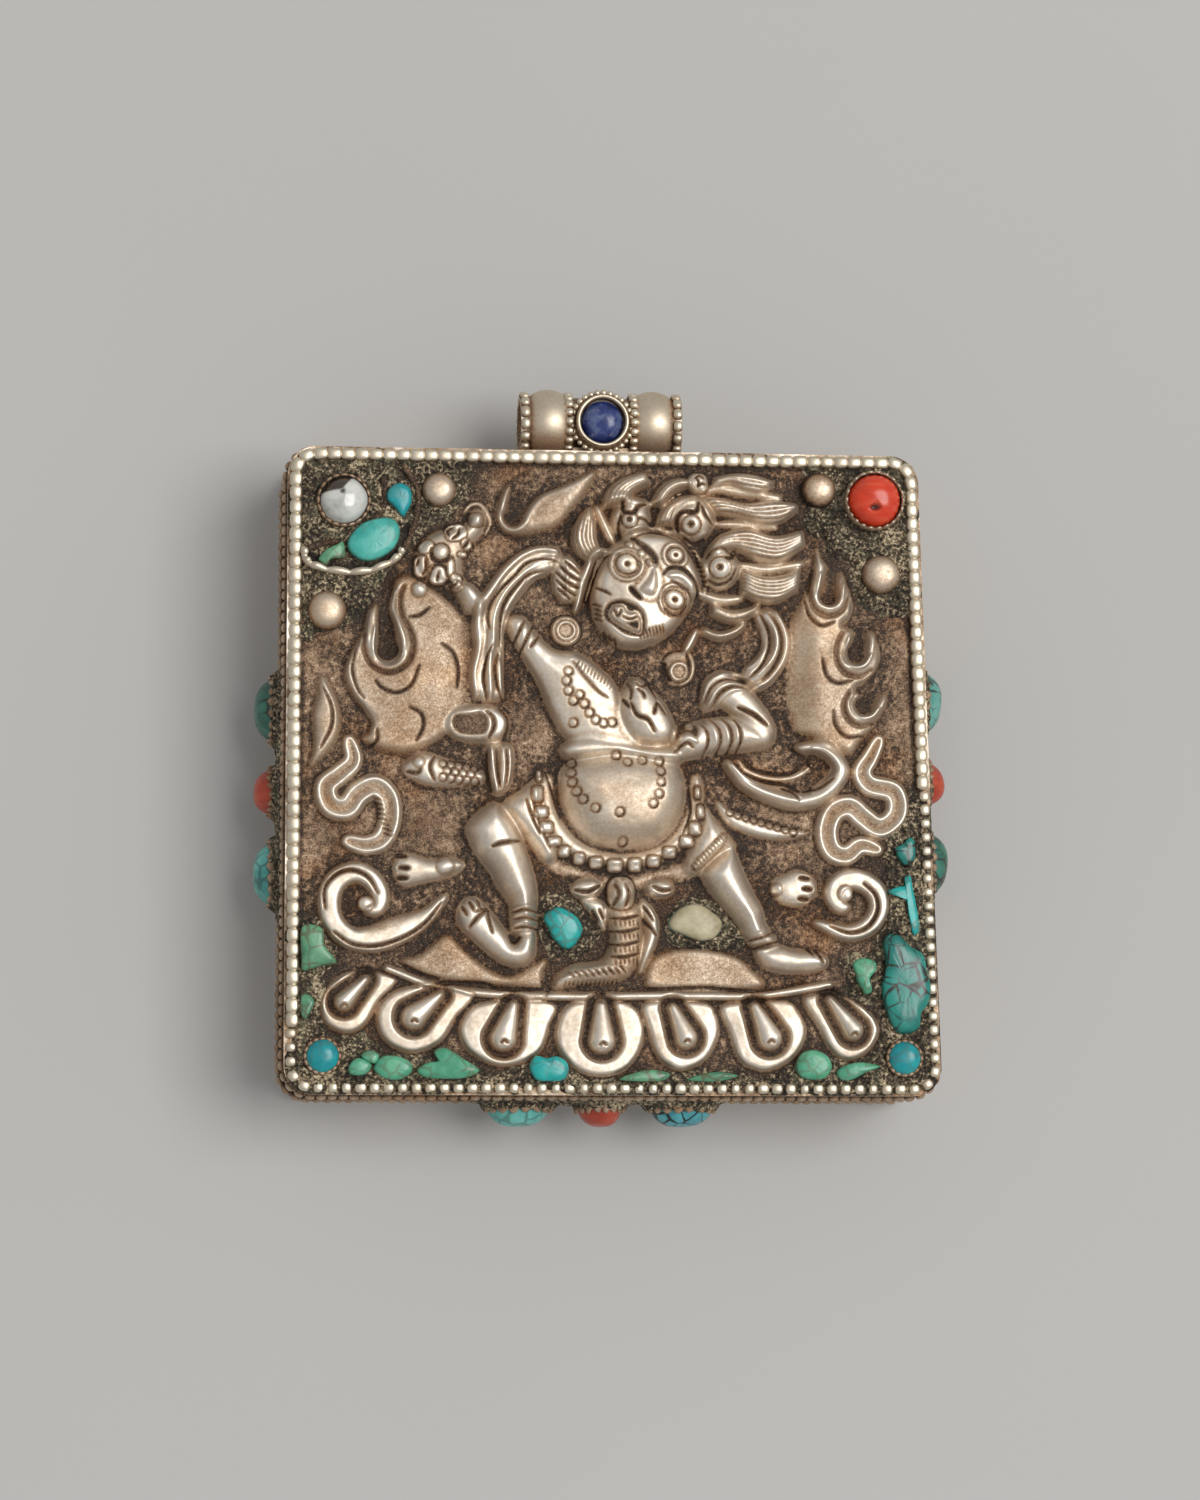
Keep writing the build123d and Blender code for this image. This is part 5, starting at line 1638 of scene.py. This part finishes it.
def make_crescent():
    """The scalloped wall of the crescent cell."""
    low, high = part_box("crescent_cell")
    pile = Pile()
    for free, dark, text in CELL_WALLS:
        path = smooth_path(text, samples=8)
        count = len(path)
        side = sideways(np.gradient(path, axis=0))
        tooth = np.sqrt(np.abs(np.sin(np.arange(count) * CELL_TOOTH)))
        rails = []
        for shift, lean, level in CELL_SECTION:
            reach = (shift + lean * tooth * free)[:, None]
            rise = low[2] - CELL_SINK + level * free * (0.75 + 0.3 * tooth) * (high[2] - low[2])
            rails.append(np.column_stack([*sheet(*(path + side * reach).T), rise]))
        faces = []
        for start in range(0, (len(rails) - 1) * count, count):
            for i in range(start, start + count - 1):
                faces.append((i, i + 1, i + count + 1, i + count))
        pile.add(np.concatenate(rails), faces, dark)
    pile.piece("crescent_wall", SILVER_BEADS, "silver", "crescent_cell")


# Bead wires: place, number and radius of the beads; where the border lies in lac
BORDER_INSET = 0.000575
BORDER_COUNT = 180
BORDER_BEAD = 0.00064
BORDER_RISE = 0.0004
BURIED_SHIFT = 0.00012
STRIP_HEIGHT = 0.003
SIDE_STRIP = 0.024
RIGHT_LAC_TOP = -0.002
LEFT_LAC_TOP = -0.025
WIRE_STAND = 0.00022
WIRE_COUNT = 232
WIRE_BEAD = 0.00052


def in_lac(x, y):
    """Whether the lac of the lower strip or of a side reaches the border at a place."""
    right = x > SIDE_STRIP and y < RIGHT_LAC_TOP
    left = x < -SIDE_STRIP and y < LEFT_LAC_TOP
    return right or left or y < LOW_EDGE + STRIP_HEIGHT


def make_border():
    """Bead wire round the panel; along the lac only the outer part of each bead shows."""
    points, outward = box_outline(-BORDER_INSET, BORDER_COUNT)
    pile = Pile()
    for (x, y), (out_x, out_y) in zip(points, outward):
        size = BORDER_BEAD * random.uniform(0.95, 1.05)
        sizes = (size * 1.26, size, size * random.uniform(0.8, 0.95))
        centre = np.array((x, y, FACE_TOP + BORDER_RISE))
        if in_lac(x, y):
            sizes = (size * random.uniform(0.7, 0.92), size * 0.8, size * 0.7)
            centre += np.array((out_x, out_y, 0)) * BURIED_SHIFT
        along = Vector((-out_y, out_x, random.normal(0, 0.05))).normalized()
        add_bead(pile, centre, along, (out_x, out_y, 0), (0, 0, 1), sizes, ROUND_BALL, 0.15, 0.7)
    pile.piece("border_beads", SILVER_BEADS, "silver", "face_bead_wire")


def make_wall_wires():
    """Bead wires soldered round the side wall."""
    points, outward = box_outline(WIRE_STAND, WIRE_COUNT)
    for node in ("wall_front_bead_wire", "wall_rear_bead_wire"):
        level = middle_of(node)[0][2]
        pile = Pile()
        for (x, y), (out_x, out_y) in zip(points, outward):
            size = WIRE_BEAD * random.uniform(0.95, 1.05)
            sizes = (size * 1.05, size, size)
            along = (-out_y, out_x, 0)
            add_bead(pile, (x, y, level), along, (0, 0, 1), (out_x, out_y, 0), sizes, SMALL_BALL, 0.9)
        pile.piece(node + "_beads", SILVER_WALL, "silver", node)


# Side walls: outward direction, and the looks of the two turquoises
SIDES = {
    "left": ((-1, 0, 0), {"a": "deep", "b": "side"}),
    "right": ((1, 0, 0), {"a": "deep", "b": "veined"}),
    "bottom": ((0, -1, 0), {"a": "side", "b": "black"}),
}
SIDE_SEED = 70
SIDE_BEZEL_GAP = 0.0003
SIDE_BEZEL_HEIGHT = 0.0014
SIDE_TEETH = 18
SIDE_LAC_GRID = (150, 46)
SIDE_LAC_RISE = 0.0004
SIDE_LAC_LUMPS = 0.0004
SIDE_LAC_EDGE = 0.0012
SIDE_LAC_SINK = 0.00005
# The heap round a stone, as shares of the stone's height and radius
HEAP_HEIGHT = 0.42
HEAP_REACH = 0.24


def make_side_lac(side, out, along_axis, stones):
    """The lac on a setting plate: lumpy, and heaped round each stone."""
    low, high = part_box(side + "_setting_plate")
    deep_axis = 1 - along_axis
    us = np.linspace(low[along_axis], high[along_axis], SIDE_LAC_GRID[0])
    u, v = np.meshgrid(us, np.linspace(low[2], high[2], SIDE_LAC_GRID[1]))
    lumps = np.random.default_rng(len(side)).normal(size=u.shape)
    for axis in (0, 1, 0, 1):
        lumps = (np.roll(lumps, 1, axis) + lumps + np.roll(lumps, -1, axis)) / 3
    rise = np.full(u.shape, SIDE_LAC_RISE)
    for middle, level, half_u, half_v, height in stones:
        gap = np.hypot((u - middle) / half_u, (v - level) / half_v)
        slope = np.exp(-(np.clip(gap - 1, 0, None) / HEAP_REACH) ** 2)
        rise = np.maximum(rise, HEAP_HEIGHT * height * slope)
    rise += lumps * SIDE_LAC_LUMPS
    edge_u = np.minimum(u - low[along_axis], high[along_axis] - u)
    edge_v = np.minimum(v - low[2], high[2] - v)
    rise *= np.sqrt(np.clip(np.minimum(edge_u, edge_v) / SIDE_LAC_EDGE, 0, 1))
    if side == "right":
        base = right_edge(u) + SETTING_THICKNESS
    else:
        base = low[deep_axis]
    place = [None, None, v]
    place[along_axis] = u
    place[deep_axis] = base + out[deep_axis] * (rise - SIDE_LAC_SINK)
    verts = np.stack(place, axis=-1).reshape(-1, 3)
    faces = grid_faces(np.ones(u.shape, bool)).tolist()
    piece(side + "_lac_heaps", verts, faces, np.clip(-lumps, 0, 0.8).ravel(), LAC, "lac")


def make_side_settings():
    """Three stones on each of three walls, in dirty scalloped bezels sunk in lac."""
    for order, (side, (out, looks)) in enumerate(SIDES.items()):
        along_axis = 0 if side == "bottom" else 1
        deep_axis = 1 - along_axis
        first = SIDE_SEED + 9 * order
        settings = [(side + "_coral", "coral", SIDE_CORAL, first + 5)]
        for tag, look in looks.items():
            settings.append((side + "_turquoise_" + tag, "turquoise", STONE[look], first + 1))
        pile = Pile()
        stones = []
        for node, slot, material, seed in settings:
            centre, half = middle_of(node)
            half_u, half_v, height = half[along_axis], half[2], half[deep_axis] * 2
            stones.append((centre[along_axis], centre[2], half_u, half_v, height))
            centre[deep_axis] -= out[deep_axis] * half[deep_axis]
            spot = Spot(centre, [axis == along_axis for axis in range(3)], out)
            cabochon(node + "_stone", spot, half_u, half_v, height, material, slot, node, seed, 0.035)
            wide, tall = half_u + SIDE_BEZEL_GAP, half_v + SIDE_BEZEL_GAP
            add_scallops(pile, spot, wide, tall, SIDE_BEZEL_HEIGHT, SIDE_TEETH, seed)
        pile.piece(side + "_scallops", SILVER_WALL, "silver", side + "_bezels")
        make_side_lac(side, out, along_axis, stones)


BAIL_SIDES = 72
BAIL_LEVELS = 97
# Barrels of the bail: start and length as shares of the half tube, swelling, and what counts as seam
BARREL_START = 0.42
BARREL_LENGTH = 0.46
BARREL_SWELL = 0.0008
SEAM_SWELL = 0.0005
SEAM_END = 0.93
# Bead rings of the bail: bead radius along the ring
BAIL_RINGS = {"bail_end_rings": 0.0006, "bail_inner_rings": 0.00045}
RING_INSET = 0.00045
RING_STAND = 0.0001
RING_BEAD = (0.00048, 0.00052)
# Collar of the lapis: radius and level in millimetres, and darkening, which at its feet is dirt and painted
# shade
COLLAR = [
    (3.0, -0.3, 0.9), (3.0, 0.3, 0.6), (2.72, 0.5, 0.7), (2.68, 1.25, 0.3), (2.62, 1.48, 0.05),
    (2.52, 1.54, 0.0), (2.36, 1.5, 0.05), (2.28, 1.3, 0.5), (2.24, 0.6, 1.0),
]
# Foot of the collar, as a share of the tube's radius
COLLAR_LEVEL = 0.86
COLLAR_BEAD = 0.00032
COLLAR_BEAD_RADIUS = 0.00305
LAPIS_RADIUS = 0.00222
LAPIS_HEIGHT = 0.0016


def make_barrels(x, y, z, half, radius):
    """The tube of the bail with its two barrels."""
    turns = around(BAIL_SIDES)
    up, front = np.cos(turns), np.sin(turns)
    free_side = 0.35 + 0.65 * np.clip(0.5 + 0.5 * (up + front), 0, 1)
    rings = []
    darks = []
    for share in np.linspace(-1, 1, BAIL_LEVELS):
        t = abs(share)
        barrel = np.clip((t - BARREL_START) / BARREL_LENGTH, 0, 1)
        swell = BARREL_SWELL * sin(barrel * pi) ** 0.6 if 0 < barrel < 1 else 0.0
        reach = radius + swell * free_side
        level = np.full(BAIL_SIDES, x + share * half)
        rings.append(np.column_stack([level, y + reach * up, z + reach * front]))
        seam = max(0.0, 1 - swell / SEAM_SWELL)
        # Dirt along the plain parts of the tube; on its side towards the case, dirt and painted shade.
        darks.append(0.13 + 0.5 * seam * (t < SEAM_END) + 0.5 * np.clip(-up - 0.1, 0, 1))
    for end in (x + half, x - half):
        bore = (y + BAIL_BORE_RADIUS * up, z + BAIL_BORE_RADIUS * front)
        rings.append(np.column_stack([np.full(BAIL_SIDES, end), *bore]))
        darks.append(0.6)
    rings.append(rings[0])
    darks.append(darks[0])
    piece("bail_barrels", *lathe(rings, darks, closed_top=False), SILVER, "silver", "bail_tube")


def make_bail():
    """The tube with its barrels, the bead rings, and the lapis in a plain collar."""
    (x, y, z), (half, radius, _) = middle_of("bail_tube")
    make_barrels(x, y, z, half, radius)
    for node, bead in BAIL_RINGS.items():
        low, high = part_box(node)
        pile = Pile()
        for ring_x in (low[0] + RING_INSET, high[0] - RING_INSET):
            spot = Spot((ring_x, y, z), (0, 1, 0), (1, 0, 0))
            for outward, onward in spot.spokes(int(pi * radius / bead)):
                sizes = (bead * random.uniform(0.9, 1.04) * 0.98, *RING_BEAD)
                centre = spot.origin + outward * (radius + RING_STAND)
                add_bead(pile, centre, onward, spot.out, outward, sizes, SMALL_BALL, 1.2, 0.7)
        pile.piece(node + "_beads", SILVER_BEADS, "silver", node)

    spot = Spot((x, y, z + radius * COLLAR_LEVEL))
    turns = around(BAIL_SIDES)
    uneven = MILLIMETRE * ripple(turns, 8, 0.008)
    rings = [spot.ring(turns, reach * uneven, rise * MILLIMETRE) for reach, rise, _ in COLLAR]
    pile = Pile()
    # Dirt and painted shade at the feet of the collar.
    pile.add(*lathe(rings, [dark for _, _, dark in COLLAR], closed_top=False))
    for outward, onward in spot.spokes(int(pi * COLLAR_BEAD_RADIUS / COLLAR_BEAD)):
        size = COLLAR_BEAD * random.uniform(0.92, 1.08)
        centre = spot.origin + outward * COLLAR_BEAD_RADIUS + spot.out * COLLAR_BEAD * 0.7
        add_bead(pile, centre, onward, outward, spot.out, (size * 0.98, size, size), SMALL_BALL)
    pile.piece("bail_collar", SILVER_BEADS, "silver", "bail_bezel")
    cabochon("lapis_stone", spot, LAPIS_RADIUS, LAPIS_RADIUS, LAPIS_HEIGHT, LAPIS, "lapis", "bail_lapis", 32)


def dress_frame():
    """Finishes for the CAD pieces that stay as they are."""
    looks = {"case_wall": SILVER_WALL, "back_plate": SILVER_BACK, "tray_wall": SILVER_INSIDE}
    looks["bail_saddle"] = SILVER_WALL
    for side in SIDES:
        looks[side + "_setting_plate"] = SILVER_WALL
    for node, material in looks.items():
        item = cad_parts[node]
        item.data.materials.clear()
        item.data.materials.append(material)


# Floor, light and camera
FLOOR_REACH = 3.0
FIELD_WIDTH = 0.120
CAMERA_DISTANCE = 0.45
CAMERA_AIM = (-0.0010, 0.0021)
TILT_DOWN = radians(6.0)
TILT_LEFT = radians(6.0)
SKY_SIDE = (0.35, 0.15, 0.9)
SKY_DIM = (0.42, 0.42, 0.42, 1)
SKY_BRIGHT = (0.52, 0.52, 0.525, 1)
KEY_PLACE = (0.92, 0.20, 2.0)
KEY_AIM = (0, 0, 0.01)
KEY_SIZE = 1.2
KEY_POWER = 28.5
KEY_COLOUR = (1.0, 0.985, 0.96)


def make_floor():
    n = Nodes("floor")
    grey = n.ramp(n.noise(6.0, 3.0, 0.5), [(0.3, linear(186, 185, 183)), (0.7, linear(190, 189, 187))])
    n.set(Base_Color=grey, Roughness=0.8)
    mesh = bpy.data.meshes.new("floor")
    corners = [(x * FLOOR_REACH, y * FLOOR_REACH, 0) for x, y in ((-1, -1), (1, -1), (1, 1), (-1, 1))]
    mesh.from_pydata(corners, [], [(0, 1, 2, 3)])
    mesh.materials.append(n.material)
    floor = bpy.data.objects.new("floor", mesh)
    bpy.context.collection.objects.link(floor)


def make_sky():
    """A grey surround, brighter on the side of the key light."""
    world = bpy.data.worlds.new("studio")
    world.use_nodes = True
    tree = world.node_tree
    place = tree.nodes.new("ShaderNodeTexCoord")
    towards = tree.nodes.new("ShaderNodeVectorMath")
    towards.operation = "DOT_PRODUCT"
    towards.inputs[1].default_value = Vector(SKY_SIDE).normalized()
    ramp = tree.nodes.new("ShaderNodeValToRGB")
    ramp.color_ramp.elements[0].color = SKY_DIM
    ramp.color_ramp.elements[1].color = SKY_BRIGHT
    tree.links.new(place.outputs["Generated"], towards.inputs[0])
    tree.links.new(towards.outputs["Value"], ramp.inputs["Fac"])
    tree.links.new(ramp.outputs["Color"], tree.nodes["Background"].inputs["Color"])
    bpy.context.scene.world = world


def make_key():
    data = bpy.data.lights.new("key", "AREA")
    data.size = KEY_SIZE
    data.energy = KEY_POWER
    data.color = KEY_COLOUR
    lamp = bpy.data.objects.new("key", data)
    lamp.location = KEY_PLACE
    lamp.rotation_euler = (Vector(KEY_AIM) - Vector(KEY_PLACE)).to_track_quat("-Z", "Y").to_euler()
    bpy.context.collection.objects.link(lamp)


def make_camera():
    data = bpy.data.cameras.new("camera")
    data.sensor_fit = "HORIZONTAL"
    data.sensor_width = 36.0
    data.lens = data.sensor_width * CAMERA_DISTANCE / FIELD_WIDTH
    data.clip_start = 0.01
    camera = bpy.data.objects.new("camera", data)
    aim = Vector((*CAMERA_AIM, FACE_TOP))
    back = Vector((-tan(TILT_LEFT), -tan(TILT_DOWN), 1)).normalized()
    right = Vector((0, 1, 0)).cross(back).normalized()
    camera.location = aim + CAMERA_DISTANCE * back
    camera.rotation_euler = Matrix((right, back.cross(right), back)).transposed().to_euler()
    bpy.context.collection.objects.link(camera)
    bpy.context.scene.camera = camera
    bpy.context.scene.view_settings.view_transform = "Standard"


figure = draw_figure()
lac_reach = lac_depth(figure)
make_panel(figure, lac_reach)
make_lac(figure, lac_reach)
make_chips()
make_round_stones()
make_studs()
make_crescent()
make_border()
make_wall_wires()
make_side_settings()
make_bail()
dress_frame()
make_floor()
make_sky()
make_key()
make_camera()
